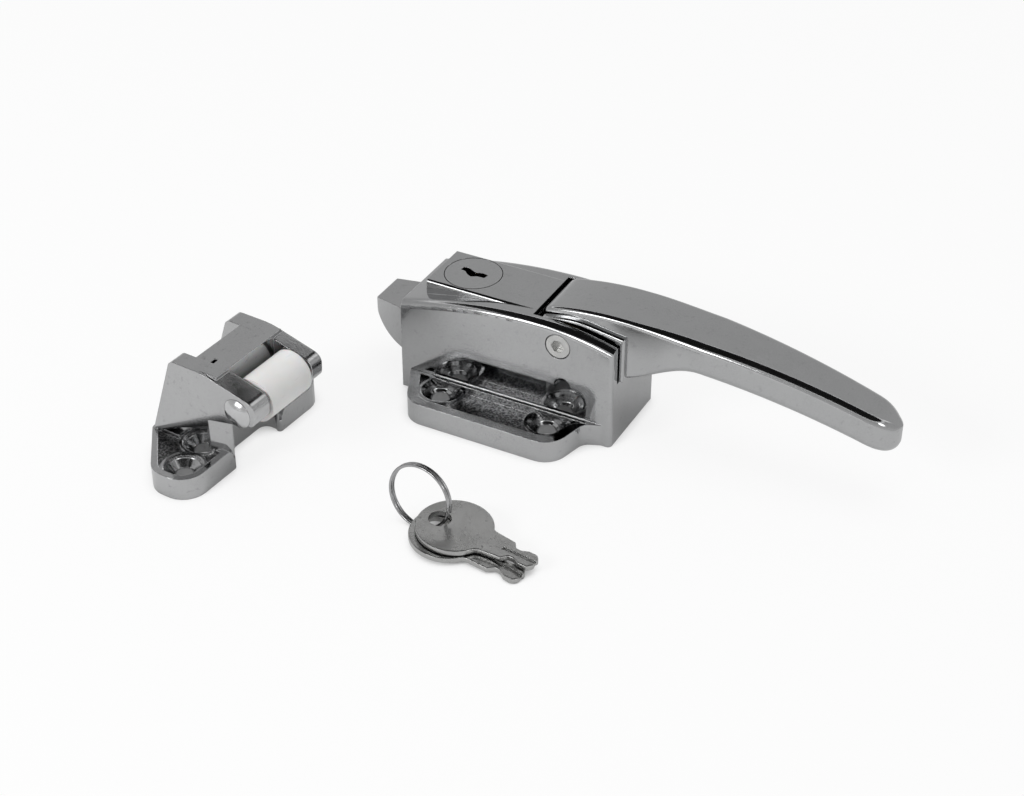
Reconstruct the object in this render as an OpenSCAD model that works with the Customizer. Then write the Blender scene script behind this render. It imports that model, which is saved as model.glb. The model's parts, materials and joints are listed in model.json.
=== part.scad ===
// Cold room door latch: spring bolt, lifting lever and key lock in a cast
// housing, with its roller strike and a pair of keys on a split ring.
// X runs from the bolt towards the tip of the lever, Z up from the mounting face.

/* [Housing] */
// Length of the housing along the lever
body_l = 86; // [80:1:96]
// Width of the housing over both side walls
body_w = 36.4; // [35:0.2:42]
// Thickness of the side walls
wall_t = 4; // [3.5:0.1:4.2]
// Height of the deck at the bolt end
deck_h = 37; // [36:0.5:39]
// Height of the side walls at their crown
crown_h = 45; // [44:0.5:48]
// Height of the side walls at the lever end
tail_h = 40.6; // [39:0.2:42]
// Radius along the top edges of the side walls
edge_r = 3; // [2:0.2:3.6]
// Height of the end wall that the lever rests on
end_wall_h = 25.4; // [22:0.2:26]

/* [Mounting flange] */
// Distance between the screw holes along the housing
screw_dx = 44; // [42:0.5:46]
// Distance between the outer rows of screw holes
screw_dy = 48; // [47:0.5:50]
// Distance between the inner rows of screw holes
inner_dy = 21.2; // [20.6:0.2:22]
// Diameter of the screw holes
screw_d = 7.2; // [6:0.2:8]
// Diameter of the countersinks
sink_d = 14.4; // [12:0.2:14.8]
// How far each flange stands out from its side wall
flange_out = 19.4; // [18.8:0.2:22]
// Height of the flange rim
flange_h = 8.8; // [8:0.2:10]
// Width of the flange rim
rim_w = 3.8; // [3:0.2:4.2]
// Height of the rough floor between the screw holes
floor_h = 5.6; // [4:0.2:6.4]
// Height of the round lands that the screws sit on
land_h = 7.6; // [7:0.2:8]
// Height of the openings over the inner screw holes
alcove_h = 20.5; // [19:0.5:21]

/* [Lock] */
// Width of the lock block on the deck
boss_w = 23.8; // [23:0.2:25]
// Diameter of the lock face
lock_d = 21.5; // [19:0.5:22]
// Diameter of the lock barrel under the face
barrel_d = 18.4; // [17:0.2:18.6]
// Diameter of the plug inside the barrel
plug_d = 13; // [12.4:0.2:14]
// Depth of the lock below the deck block
lock_depth = 12.4; // [12:0.2:12.8]
// Length of the keyway
keyway_l = 11; // [10:0.5:12]

/* [Lever] */
// Reach of the lever from its pivot to its tip
lever_reach = 121.5; // [110:0.5:130]
// Width of the lever blade
lever_w = 23.2; // [22:0.2:23.6]
// Thickness of the lever blade at its middle
lever_t = 13.6; // [12:0.2:14]
// Highest point of the lever
lever_top = 50.6; // [50:0.2:52]
// Height of the pivot above the mounting face
pivot_h = 36.9; // [36:0.1:38]
// Diameter of the pivot pin
pin_d = 7; // [6:0.2:7.4]
// Diameter of the head of the pivot pin
pin_head_d = 9.8; // [9:0.2:11]
// Angle that the lever lifts through, in degrees
lever_lift = 40; // [30:1:40]

/* [Bolt] */
// Width of the bolt at the housing
bolt_w = 20.4; // [18:0.2:21]
// Width of the bolt at its tip
bolt_tip_w = 14.6; // [12:0.2:16]
// How far the bolt stands out of the housing
bolt_out = 17.2; // [15:0.2:18]
// Height of the top of the bolt
bolt_top = 28; // [27.6:0.2:28.4]
// Height of the bolt nose
bolt_nose_h = 18.6; // [17:0.2:19]
// Outer diameter of the bolt springs
spring_d = 5; // [4.6:0.2:5.2]
// Wire diameter of the bolt springs
spring_wire = 0.7; // [0.5:0.1:0.8]
// Turns of each bolt spring
spring_turns = 7; // [5:1:9]

/* [Strike] */
// Width of the strike over both cheeks
strike_w = 38; // [36:0.5:40]
// Thickness of each cheek
cheek_t = 7; // [6:0.2:8]
// Thickness of the nearer arm beside the roller
near_arm_t = 8.4; // [8:0.2:10]
// How much thinner the farther arm is than its cheek
far_arm_thin = 1.2; // [0:0.1:2]
// Height of the strike
strike_h = 41.4; // [40:0.2:44]
// Reach of each mounting lobe beyond its cheek
lobe_out = 20; // [19:0.5:22]
// Depth of the strike base along the bolt
strike_depth = 33; // [32:0.5:36]
// Diameter of the roller
roller_d = 16.8; // [15:0.2:17]
// Diameter of the roller axle
axle_d = 6; // [5:0.2:7]
// Height of the roller axle
axle_h = 30.2; // [29.8:0.1:31]

/* [Keys] */
// Diameter of the key bows
bow_d = 27; // [25:0.5:29]
// Thickness of each key
key_t = 2.1; // [1.8:0.1:2.2]
// Diameter of the holes in the key bows
bow_hole_d = 8; // [7.6:0.2:8.4]
// Mean radius of the key ring
ring_r = 11.8; // [11.4:0.1:12.2]
// Wire diameter of the key ring
ring_wire = 1.2; // [1:0.1:1.3]
// Turns of the key ring
ring_turns = 1.75; // [1.5:0.25:2]

/* [Fits] */
// Radial clearance of shafts that turn in bores
run_gap = 0.05; // [0.03:0.01:0.08]
// Gap between parts that slide or swing past each other
side_gap = 0.4; // [0.3:0.05:0.6]
// Gap between pieces that rest beside each other
seat_gap = 0.3; // [0.2:0.05:0.4]

/* [Hidden] */
$fn = 96;

// Small overlap that lets a cut pass through a face
eps = 0.02;
// Housing: ends, half width and the two arcs of its side walls
body_x0 = -41.5;
body_x1 = body_x0 + body_l;
half_w = body_w / 2;
inner_half = half_w - wall_t;
crown_x = 15.5;
corner_r = 1.6;
rise_front = crown_h - deck_h;
rise_back = crown_h - tail_h;
arc_front = (pow(crown_x - body_x0, 2) + pow(rise_front, 2)) / (2 * rise_front);
arc_back = (pow(body_x1 - crown_x, 2) + pow(rise_back, 2)) / (2 * rise_back);
// Lock block on the deck and the slot in front of the lever
boss_x0 = body_x0 + 7.7;
boss_r = 1.2;
slot_x = 11;
slot_w = 2.9;
lock_x = body_x0 + 20.7;
// Flange outline: how far its ends draw in, and its corner radii
flange_y = half_w + flange_out;
flange_x0 = -screw_dx / 2 - 16.2;
flange_x1 = screw_dx / 2 + 12.8;
flange_r = 9;
flange_blend_r = 5;
rib_w = 3;
rib_h = flange_h + 0.5;
land_r = sink_d / 2 + 1.2;
alcove_r = sink_d / 2 + 1;
alcove_y = half_w - 9.2;
// Cavity for the bolt and the lever hub
cavity_floor = bolt_top - 9.2;
mouth_floor = bolt_top - bolt_nose_h - side_gap;
cavity_x1 = body_x1 - 4;
nose_back_x = body_x0 - 1;
// Cored pockets in the mounting face, and the small hole in each side wall
pocket_x = 9;
pocket_l = 10;
pocket_w = 12;
side_hole_d = 6.7;
side_hole_x = screw_dx / 2 + 2.9;
side_hole_z = alcove_h + 0.1;
// Lever
pivot_x = 22.8;
lever_x0 = slot_x + slot_w;
lever_x1 = pivot_x + lever_reach;
lever_peak_x = 42;
lever_arc = 320;
lever_front_arc = 120;
lever_taper_x = 75;
lever_draw = 3.9;
lever_tip_l = 11;
hub_w = 2 * (inner_half - 0.9);
hub_x1 = body_x1 + 2;
hub_top = 46.2;
hub_low = end_wall_h + seat_gap;
hub_r = pivot_h - hub_low;
front_r = 12.9;
swing_r = front_r + side_gap;
bush_t = 1.2;
pivot_washer_d = 13;
toe_r = 15;
toe_nose_r = 2.5;
toe_w = 4;
toe_t = 3.4;
toe_rest = lever_lift / 2;
bolt_travel = 2 * toe_r * sin(toe_rest);
// Bolt
nose_r = 17;
nose_end = 255;
tail_w = 7.6;
tail_top = hub_low - side_gap - 0.3;
bolt_body_x1 = -14;
toe_slot_x = pivot_x - toe_r * sin(toe_rest);
tail_x1 = toe_slot_x + toe_nose_r + side_gap + 4;
spring_y = 6.9;
rib_x0 = 6.4;
rib_x1 = 9.2;
guide_d = spring_d - 2 * spring_wire - 1;
// Lock
lock_face_t = 2;
face_gap = 0.15;
lock_low = crown_h - lock_depth;
clip_t = 0.7;
clip_seat_d = plug_d - 2;
cam_t = 1.6;
cam_low = lock_low - 2 * seat_gap - clip_t - cam_t;
cam_bore_d = 3;
wafer_t = 1;
wafer_w = 5;
wafer_l = 12;
wafer_count = 4;
wafer_step = 1.8;
wafer_z0 = lock_low + 2;
// Strike, drawn in its own frame and set beside the bolt
strike_pos = [-67.5, -90.45, 0];
strike_turn = -4.6;
strike_mid = 13;
cheek_y0 = strike_mid - strike_w / 2;
lobe_r = 9;
lobe_x = 16.6;
lobe_y0 = cheek_y0 - lobe_out;
lobe_y1 = cheek_y0 + strike_w + lobe_out;
notch_w = 22.6;
notch_d = 8.2;
notch_r = 3.4;
notch_swell = 1.8;
web_x0 = -14.6;
ear_x0 = -21;
pillar_x = -6.6;
wall_x = -0.7;
ledge_h = 4.9;
mouth_h = 21;
mouth_w = notch_w + 2 * notch_swell;
axle_x = 8;
web_x1 = axle_x - roller_d / 2 - side_gap;
rivet_d = 11.4;
rivet_h = 2.2;
washer_t = 0.7;
fork_y0 = cheek_y0 + near_arm_t;
fork_y1 = cheek_y0 + strike_w - cheek_t + far_arm_thin;
roller_l = fork_y1 - fork_y0 - 2 * washer_t - 2 * seat_gap;
hole_a = [-9.5, cheek_y0 - 10.5];
hole_b = [-13.3, cheek_y0 + 4.5];
// Keys and ring
ring_mid = [6.4, -87.9, ring_r + ring_wire / 2];
ring_travel = ring_turns * (ring_wire + run_gap);
ring_start = -10;
ring_turn = -6;
ring_lean = -5.7;
key_tilt = 2.6;
lower_hole = [12.9, -89.6, 1.9];
upper_hole = [14.4, -88.7, 1.9 + key_t + seat_gap];
lower_turn = -13;
upper_turn = -5.5;
bow_mid = 6;
key_l = 38.4;
key_blade_w = 7.6;
neck_w = 11;
key_cuts = [0.7, 0.4, 0.9, 0.5];
chrome = [0.72, 0.73, 0.75];
bright = [0.80, 0.81, 0.82];
steel = [0.60, 0.61, 0.63];

// Points on an arc of radius r about c from angle a0 to a1
function arc_points(c, r, a0, a1, n) =
    [for (i = [0:n]) c + r * [cos(a0 + (a1 - a0) * i / n), sin(a0 + (a1 - a0) * i / n)]];

// Corner p of a path between points a and b, replaced by an arc of radius r
function corner_arc(a, p, b, r, n = 6) =
    let (
        u = (a - p) / norm(a - p),
        v = (b - p) / norm(b - p),
        half = acos(u * v) / 2,
        t = r / tan(half),
        m = (u + v) / norm(u + v),
        c = p + m * r / sin(half),
        s = p + u * t - c,
        e = p + v * t - c,
        a0 = atan2(s[1], s[0]),
        turn = atan2(e[1], e[0]) - a0,
        sweep = turn > 180 ? turn - 360 : (turn < -180 ? turn + 360 : turn)
    )
    r <= 0 ? [p] : arc_points(c, r, a0, a0 + sweep, n);

// Closed outline through [x, y, corner radius] points
function rounded_outline(pts) =
    [for (i = [0:len(pts) - 1])
        let (
            q = [for (k = pts) [k[0], k[1]]],
            n = len(pts)
        )
        each corner_arc(q[(i + n - 1) % n], q[i], q[(i + 1) % n], pts[i][2])];

// Solid from an outline in X and Z, centred on Y = 0
module side_profile(pts, w) {
    rotate([90, 0, 0])
        linear_extrude(height = w, center = true)
            polygon(pts);
}

// Same thing on both sides of the housing
module both_sides() {
    children();
    mirror([0, 1, 0]) children();
}

// Countersunk screw hole from the mounting face up to a land
module screw_hole(land) {
    sink_depth = (sink_d - screw_d) / 2;
    translate([0, 0, -1])
        cylinder(h = land + 2, d = screw_d);
    translate([0, 0, land - sink_depth])
        cylinder(h = sink_depth + eps, d1 = screw_d, d2 = sink_d + 2 * eps);
}

// Disc whose rim has rounded edges, lying along an arc of the side walls
module rounded_rim_disc(r) {
    w = half_w;
    rotate([90, 0, 0])
        rotate_extrude($fn = 180)
            union() {
                translate([0, -w])
                    square([r - edge_r, 2 * w]);
                translate([r - edge_r - eps, edge_r - w])
                    square([edge_r + eps, 2 * (w - edge_r)]);
                for (s = [-1, 1])
                    translate([r - edge_r, s * (w - edge_r)])
                        circle(r = edge_r, $fn = 48);
            }
}

// Body block with upright rounded corners at the lever end
module body_block(x0, x1, h) {
    translate([x0, -half_w, 0])
        cube([x1 - x0, body_w, h]);
}

// Outer form of the housing under the two arcs of its top
module body_form() {
    intersection() {
        body_block(body_x0, crown_x, crown_h + 1);
        translate([crown_x, 0, crown_h - arc_front])
            rounded_rim_disc(arc_front);
    }
    intersection() {
        union() {
            body_block(crown_x, body_x1 - corner_r, crown_h + 1);
            translate([body_x1 - corner_r - eps, corner_r - half_w, 0])
                cube([corner_r + eps, body_w - 2 * corner_r, crown_h + 1]);
            for (s = [-1, 1])
                translate([body_x1 - corner_r, s * (half_w - corner_r), 0])
                    cylinder(h = crown_h + 1, r = corner_r, $fn = 48);
        }
        translate([crown_x, 0, crown_h - arc_back])
            rounded_rim_disc(arc_back);
    }
}

// Outline of one flange: straight at the bolt end, a drawn S at the lever end
function flange_outline(inset, y0) = rounded_outline([
    [flange_x0 + 1.4 * inset, y0, 0],
    [flange_x0 + 9.4 + inset * 0.8, inset - flange_y, flange_r - inset * 0.6],
    [flange_x1 - 4.2 - inset, inset - flange_y, flange_r - inset * 0.6],
    [flange_x1 - inset, -half_w - 2.4, flange_blend_r + inset * 0.3],
    [flange_x1 + 8.5 - 1.9 * inset, y0, 0]
]);

// Flange with its rim, the rough floor and the round lands
module flange() {
    difference() {
        linear_extrude(height = flange_h)
            polygon(flange_outline(0, 1 - half_w));
        difference() {
            translate([0, 0, floor_h])
                linear_extrude(height = flange_h)
                    polygon(flange_outline(rim_w, -half_w - rib_w / 2));
            for (s = [-1, 1])
                translate([s * screw_dx / 2, -screw_dy / 2, 0])
                    cylinder(h = land_h, r = land_r);
        }
    }
}

// Opening over the inner screws, as seen on the side wall
function alcove_outline() = rounded_outline([
    [-screw_dx / 2 - 7.6, floor_h - 1, 0],
    [-screw_dx / 2 - 4, alcove_h - 6.4, 4],
    [-screw_dx / 2 + 6, alcove_h, 8],
    [screw_dx / 2 + 13, alcove_h, 5],
    [screw_dx / 2 + 12, floor_h - 1, 0]
]);

// Space behind the rib, reaching over the inner screw holes
module alcove() {
    intersection() {
        difference() {
            translate([0, 0, floor_h])
                linear_extrude(height = alcove_h)
                    union() {
                        translate([-screw_dx / 2, -alcove_y - 11])
                            square([screw_dx + 14, 11]);
                        for (s = [-1, 1])
                            translate([s * screw_dx / 2, -inner_dy / 2])
                                circle(r = alcove_r);
                        translate([-screw_dx / 2 - alcove_r, -inner_dy / 2 - 10])
                            square([2 * alcove_r, 10]);
                    }
            for (s = [-1, 1])
                translate([s * screw_dx / 2, -inner_dy / 2, 0])
                    cylinder(h = land_h, r = land_r);
            translate([-60, -half_w - rib_w / 2, 0])
                cube([120, rib_w, rib_h]);
        }
        translate([0, -half_w, 0])
            side_profile(alcove_outline(), body_w);
        alcove_ceiling();
    }
}

// Slope that keeps the alcoves clear of the bolt
module alcove_ceiling() {
    rotate([90, 0, 90])
        linear_extrude(height = 120, center = true)
            polygon([
                [-half_w - 5, 0],
                [-half_w - 5, alcove_h + 1],
                [2 - half_w, alcove_h + 1],
                [-2, alcove_h - 9],
                [-2, 0]
            ]);
}

// Raised block that carries the lock, with rounded long edges
module lock_block() {
    w = boss_w / 2;
    h = crown_h - deck_h + 6;
    intersection() {
        translate([boss_x0, -w, crown_h - h])
            cube([slot_x - boss_x0, boss_w, h]);
        translate([boss_x0 - 5, 0, 0])
            rotate([90, 0, 90])
                linear_extrude(height = slot_x - boss_x0 + 10)
                    union() {
                        translate([-w, crown_h - h])
                            square([boss_w, h - boss_r]);
                        translate([boss_r - w, crown_h - 2 * boss_r])
                            square([boss_w - 2 * boss_r, 2 * boss_r]);
                        for (s = [-1, 1])
                            translate([s * (w - boss_r), crown_h - boss_r])
                                circle(r = boss_r, $fn = 32);
                    }
    }
}

// Everything inside the housing that the bolt, lever and lock need
module housing_cavity() {
    // Mouth and the low space for the nose of the bolt
    translate([body_x0 - 1, -bolt_w / 2 - side_gap, mouth_floor])
        cube([nose_back_x + bolt_travel + 2 - body_x0, bolt_w + 2 * side_gap,
              bolt_top + side_gap - mouth_floor]);
    // Bolt channel under the deck
    translate([body_x0 + 4, -bolt_w / 2 - side_gap, cavity_floor])
        cube([rib_x0 - body_x0 - 4, bolt_w + 2 * side_gap,
              bolt_top + side_gap - cavity_floor]);
    // Tail channel through the spring rib and under the lever hub
    translate([body_x0 + 4, -tail_w / 2 - side_gap, cavity_floor])
        cube([cavity_x1 - body_x0 - 4, tail_w + 2 * side_gap,
              bolt_top + side_gap - cavity_floor]);
    // Hub space between the side walls, open at the top and over the end wall
    translate([rib_x1, -inner_half, bolt_top - 5])
        cube([cavity_x1 - rib_x1, 2 * inner_half, pivot_h - bolt_top + 5]);
    translate([pivot_x, 0, pivot_h])
        rotate([90, 0, 0])
            cylinder(h = 2 * inner_half, r = swing_r, center = true);
    // Holes in the rib for the rods of the springs
    both_sides()
        translate([rib_x0 - 1, -spring_y, spring_z()])
            rotate([0, 90, 0])
                cylinder(h = 5, d = guide_d + 2 * run_gap);
    translate([slot_x, -inner_half, pivot_h])
        cube([body_l, 2 * inner_half, crown_h]);
    translate([pivot_x, -inner_half, end_wall_h])
        cube([body_l, 2 * inner_half, crown_h]);
}

// Cored pockets in the mounting face
module underside_pockets() {
    for (x = [-pocket_x, pocket_x])
        translate([x - pocket_l / 2, -pocket_w / 2, -1])
            cube([pocket_l, pocket_w, cavity_floor - 2.4]);
}

module housing() {
    color(chrome)
        difference() {
            union() {
                body_form();
                both_sides() flange();
                lock_block();
            }
            both_sides() {
                alcove();
                for (s = [-1, 1]) {
                    translate([s * screw_dx / 2, -screw_dy / 2, 0])
                        screw_hole(land_h);
                    translate([s * screw_dx / 2, -inner_dy / 2, 0])
                        screw_hole(land_h);
                }
            }
            housing_cavity();
            underside_pockets();
            // Lock bore: wide for the face, narrower for the barrel
            translate([lock_x, 0, crown_h - lock_face_t - run_gap])
                cylinder(h = 5, d = lock_d + 2 * face_gap);
            translate([lock_x, 0, bolt_top])
                cylinder(h = crown_h - bolt_top, d = barrel_d + 2 * run_gap);
            // Pivot bore with a seat for the pin head and for the nut
            translate([pivot_x, 0, pivot_h])
                rotate([90, 0, 0])
                    cylinder(h = body_w + 2, d = pin_d + 2 * run_gap, center = true);
            both_sides()
                translate([pivot_x, -half_w - 1, pivot_h])
                    rotate([-90, 0, 0])
                        cylinder(h = 3, d = pin_head_d + 2 * run_gap);
            // Small round hole through each side wall
            translate([side_hole_x, 0, side_hole_z])
                rotate([90, 0, 0])
                    difference() {
                        cylinder(h = body_w + 2, d = side_hole_d, center = true);
                        cylinder(h = 2 * inner_half - 6, d = side_hole_d + 2, center = true);
                    }
        }
}

// Lever: height of its top and its underside, and half its width, at x
function lever_top_z(x) =
    let (d = x - lever_peak_x)
    d > 0 ? lever_top - (lever_arc - sqrt(pow(lever_arc, 2) - d * d))
          : lever_top - (lever_front_arc - sqrt(pow(lever_front_arc, 2) - d * d));
function ease(t) = t <= 0 ? 0 : (t >= 1 ? 1 : t * t * (3 - 2 * t));
function lever_low_z(x) =
    let (under = lever_top_z(x) - lever_t)
    x < pivot_x ? pivot_h
                : hub_low + (under - hub_low) * ease((x - hub_x1 + 6) / 34);
function lever_half_w(x) =
    let (
        taper = x < lever_taper_x ? 0 : (x - lever_taper_x) / (lever_x1 - lever_taper_x),
        w = lever_w / 2 - lever_draw * taper,
        tip = lever_x1 - lever_tip_l
    )
    x < tip ? w : w * sqrt(max(0.02, 1 - pow((x - tip) / lever_tip_l, 2)));

// Top of the lever with its nose behind the slot and its drawn tip
function lever_skin_top(x) =
    let (
        nose = pivot_h + sqrt(pow(front_r, 2) - pow(min(0, x - pivot_x), 2)),
        past = max(0, x - lever_x1 + lever_tip_l - 2)
    )
    (x < pivot_x ? min(nose, lever_top_z(x)) : lever_top_z(x)) - 0.024 * past * past;

// Cross-section of the lever at x: a rounded box, rounder underneath
function lever_section(x) =
    let (
        w = lever_half_w(x),
        top = lever_skin_top(x),
        low = lever_low_z(x),
        rt = min(1.8, w * 0.6),
        grown = 1.5 + 3.5 * ease((x - lever_peak_x) / 30),
        rb = min(grown, w * 0.7, (top - low) * 0.45)
    )
    [each [for (p = arc_points([w - rt, top - rt], rt, 0, 90, 4)) [x, p[0], p[1]]],
     each [for (p = arc_points([rt - w, top - rt], rt, 90, 180, 4)) [x, p[0], p[1]]],
     each [for (p = arc_points([rb - w, low + rb], rb, 180, 270, 4)) [x, p[0], p[1]]],
     each [for (p = arc_points([w - rb, low + rb], rb, 270, 360, 4)) [x, p[0], p[1]]]];

// Skin through a list of sections, closed at both ends
module loft(sections) {
    n = len(sections[0]);
    m = len(sections);
    polyhedron(
        points = [for (s = sections) each s],
        faces = [
            for (j = [0:m - 2], i = [0:n - 1])
                each [[j * n + i, (j + 1) * n + i, (j + 1) * n + (i + 1) % n],
                      [j * n + i, (j + 1) * n + (i + 1) % n, j * n + (i + 1) % n]],
            [for (i = [0:n - 1]) i],
            [for (i = [n - 1:-1:0]) (m - 1) * n + i]
        ],
        convexity = 4
    );
}

// Wide hub between the side walls, round about the pivot at the front
module lever_hub() {
    outline = rounded_outline([
        [lever_x0, hub_top - 2, 0.6],
        [pivot_x + 4, hub_top + 0.4, 40],
        [hub_x1, hub_top - 2.4, 1],
        [hub_x1, hub_low, 1],
        [pivot_x, hub_low, 0],
        [pivot_x - 4, pivot_h, 0],
        [lever_x0, pivot_h, 0]
    ]);
    intersection() {
        side_profile(outline, hub_w);
        front_limit();
    }
    translate([pivot_x, 0, pivot_h])
        rotate([90, 0, 0])
            cylinder(h = hub_w, r = hub_r, center = true);
}

// Round limit that lets the front of the lever swing behind the lock block
module front_limit() {
    translate([pivot_x, 0, pivot_h])
        rotate([90, 0, 0])
            cylinder(h = body_w, r = front_r, center = true);
    translate([pivot_x, -half_w, 0])
        cube([body_l, body_w, lever_top + 2]);
}

// Toe that reaches down into the slot of the bolt
module lever_toe() {
    translate([pivot_x, 0, pivot_h])
        rotate([0, toe_rest, 0]) {
            translate([-toe_t / 2, -toe_w / 2, -toe_r])
                cube([toe_t, toe_w, toe_r]);
            translate([0, 0, -toe_r])
                rotate([90, 0, 0])
                    cylinder(h = toe_w, r = toe_nose_r, center = true);
        }
}

module lever() {
    nose = pivot_x - lever_x0;
    tip = lever_x1 - lever_tip_l;
    stations = [
        for (i = [0:3]) lever_x0 + nose * i / 4,
        pivot_x - eps,
        pivot_x,
        for (i = [1:4]) pivot_x + (hub_x1 - 8 - pivot_x) * i / 4,
        for (i = [1:8]) hub_x1 - 8 + (lever_taper_x - hub_x1 + 8) * i / 8,
        for (i = [1:8]) lever_taper_x + (tip - lever_taper_x) * i / 8,
        for (i = [1:6]) tip + lever_tip_l * sin(i * 15)
    ];
    color(chrome)
        difference() {
            union() {
                loft([for (x = stations) lever_section(x)]);
                lever_hub();
                lever_toe();
            }
            translate([pivot_x, 0, pivot_h])
                rotate([90, 0, 0])
                    cylinder(h = hub_w + 2, r = pin_d / 2 + bush_t + run_gap, center = true);
        }
}

module lever_bush() {
    color("goldenrod")
        translate([pivot_x, 0, pivot_h])
            rotate([90, 0, 0])
                difference() {
                    cylinder(h = hub_w, r = pin_d / 2 + bush_t, center = true);
                    cylinder(h = hub_w + 2, r = pin_d / 2 + run_gap, center = true);
                }
}

// Headed pivot pin with a hexagon socket, screwed into a round nut
module pivot_pin() {
    color(bright)
        translate([pivot_x, 0, pivot_h])
            rotate([90, 0, 0])
                difference() {
                    union() {
                        translate([0, 0, -half_w + 2])
                            cylinder(h = body_w - 4 + eps, d = pin_d);
                        translate([0, 0, half_w - 2])
                            cylinder(h = 1.6, d = pin_head_d);
                        translate([0, 0, half_w - 0.4 - eps])
                            cylinder(h = 0.4, d1 = pin_head_d, d2 = pin_head_d - 0.8);
                    }
                    translate([0, 0, half_w - 2.6])
                        cylinder(h = 3, d = 5.2, $fn = 6);
                }
}

module pivot_nut() {
    color(bright)
        translate([pivot_x, half_w, pivot_h])
            rotate([90, 0, 0])
                difference() {
                    cylinder(h = 2 - run_gap, d = pin_head_d);
                    translate([0, 0, -1])
                        cylinder(h = 2, d = 5.2, $fn = 6);
                }
}

// Thin washers against the side walls, beside the hub
module pivot_washers() {
    washer = inner_half - hub_w / 2 - seat_gap;
    color("goldenrod")
        both_sides()
            translate([pivot_x, washer / 2 - inner_half, pivot_h])
                rotate([90, 0, 0])
                    difference() {
                        cylinder(h = washer, d = pivot_washer_d, center = true);
                        cylinder(h = washer + 1, d = pin_d + 2 * run_gap, center = true);
                    }
}

// Side outline of the bolt nose: flat on top, curved underneath
function nose_outline() =
    let (
        tip = body_x0 - bolt_out,
        low = bolt_top - bolt_nose_h
    )
    [
        [tip + 0.6, bolt_top],
        [tip, bolt_top - 0.6],
        each arc_points([tip + nose_r, bolt_top - 1.2], nose_r, 180, nose_end, 14),
        [nose_back_x, low],
        [nose_back_x, bolt_top]
    ];

// Plan outline of the bolt: the nose widens to the housing, the tail is slim
module bolt_plan() {
    tip = body_x0 - bolt_out;
    polygon(rounded_outline([
        [tip, -bolt_tip_w / 2, 1.5],
        [body_x0 - 4, -bolt_w / 2, 3],
        [bolt_body_x1, -bolt_w / 2, 0.8],
        [bolt_body_x1, -tail_w / 2, 0],
        [tail_x1, -tail_w / 2, 1],
        [tail_x1, tail_w / 2, 1],
        [bolt_body_x1, tail_w / 2, 0],
        [bolt_body_x1, bolt_w / 2, 0.8],
        [body_x0 - 4, bolt_w / 2, 3],
        [tip, bolt_tip_w / 2, 1.5]
    ]));
}

module bolt() {
    slot_half = toe_nose_r + side_gap;
    color(bright)
        difference() {
            intersection() {
                linear_extrude(height = bolt_top)
                    bolt_plan();
                union() {
                    side_profile(nose_outline(), bolt_w + 2);
                    translate([nose_back_x - 1, -bolt_w, cavity_floor + side_gap])
                        cube([tail_x1 - nose_back_x + 2, 2 * bolt_w,
                              bolt_top - cavity_floor - side_gap]);
                }
            }
            // Lower tail under the lever hub
            translate([bolt_body_x1, -tail_w, tail_top])
                cube([tail_x1 - bolt_body_x1, 2 * tail_w, bolt_top]);
            // Slot for the toe of the lever
            translate([toe_slot_x - slot_half, -toe_w / 2 - side_gap, 0])
                cube([2 * slot_half, toe_w + 2 * side_gap, bolt_top + 1]);
            // Blind bores for the springs
            for (s = [-1, 1])
                translate([bolt_body_x1 - 12, s * spring_y, spring_z()])
                    rotate([0, 90, 0])
                        cylinder(h = 20, d = spring_d + 2 * side_gap);
        }
}

// Height of the spring axes, in the middle of the bolt body
function spring_z() = (cavity_floor + side_gap + bolt_top) / 2;

// Helix of round wire along X, as one closed skin
module coil(r, wire, length, turns, sides = 6, steps = 10) {
    total = turns * steps;
    rings = [
        for (i = [0:total])
            let (
                a = 360 * i / steps,
                x = wire / 2 + (length - wire) * i / total
            )
            [for (k = [0:sides - 1])
                let (
                    b = 360 * k / sides,
                    rr = r + wire / 2 * cos(b)
                )
                [x + wire / 2 * sin(b), rr * cos(a), rr * sin(a)]]
    ];
    loft(rings);
}

module bolt_springs() {
    x0 = bolt_body_x1 - 12 + seat_gap;
    color(steel)
        both_sides()
            translate([x0, -spring_y, spring_z()])
                coil((spring_d - spring_wire) / 2, spring_wire,
                     rib_x0 - seat_gap - x0, spring_turns);
}

// Rods on the spring rib that keep the springs straight
module spring_guides() {
    rod_l = 16;
    color(steel)
        both_sides()
            translate([rib_x1 - rod_l, -spring_y, spring_z()])
                rotate([0, 90, 0])
                    cylinder(h = rod_l, d = guide_d);
}

// Barrel pressed into the block, with an open chamber for the wafers
module lock_barrel() {
    color(steel)
        translate([lock_x, 0, lock_low])
            difference() {
                cylinder(h = crown_h - lock_face_t - lock_low, d = barrel_d);
                translate([0, 0, -1])
                    cylinder(h = lock_depth + 2, d = plug_d + 2 * run_gap);
                translate([-plug_d / 2 - 1.6, -wafer_w / 2 - seat_gap, wafer_z0 - lock_low - 1])
                    cube([plug_d + 3.2, wafer_w + 2 * seat_gap, wafer_count * wafer_step + 1.4]);
            }
}

// Open spring clip in the groove of the plug, under the barrel
module lock_clip() {
    color(steel)
        translate([lock_x, 0, lock_low - seat_gap - clip_t])
            difference() {
                cylinder(h = clip_t, d = plug_d + 2.4);
                translate([0, 0, -1])
                    cylinder(h = clip_t + 2, d = clip_seat_d + 2 * run_gap);
                translate([0, -2.4, -1])
                    cube([plug_d, 4.8, clip_t + 2]);
            }
}

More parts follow.
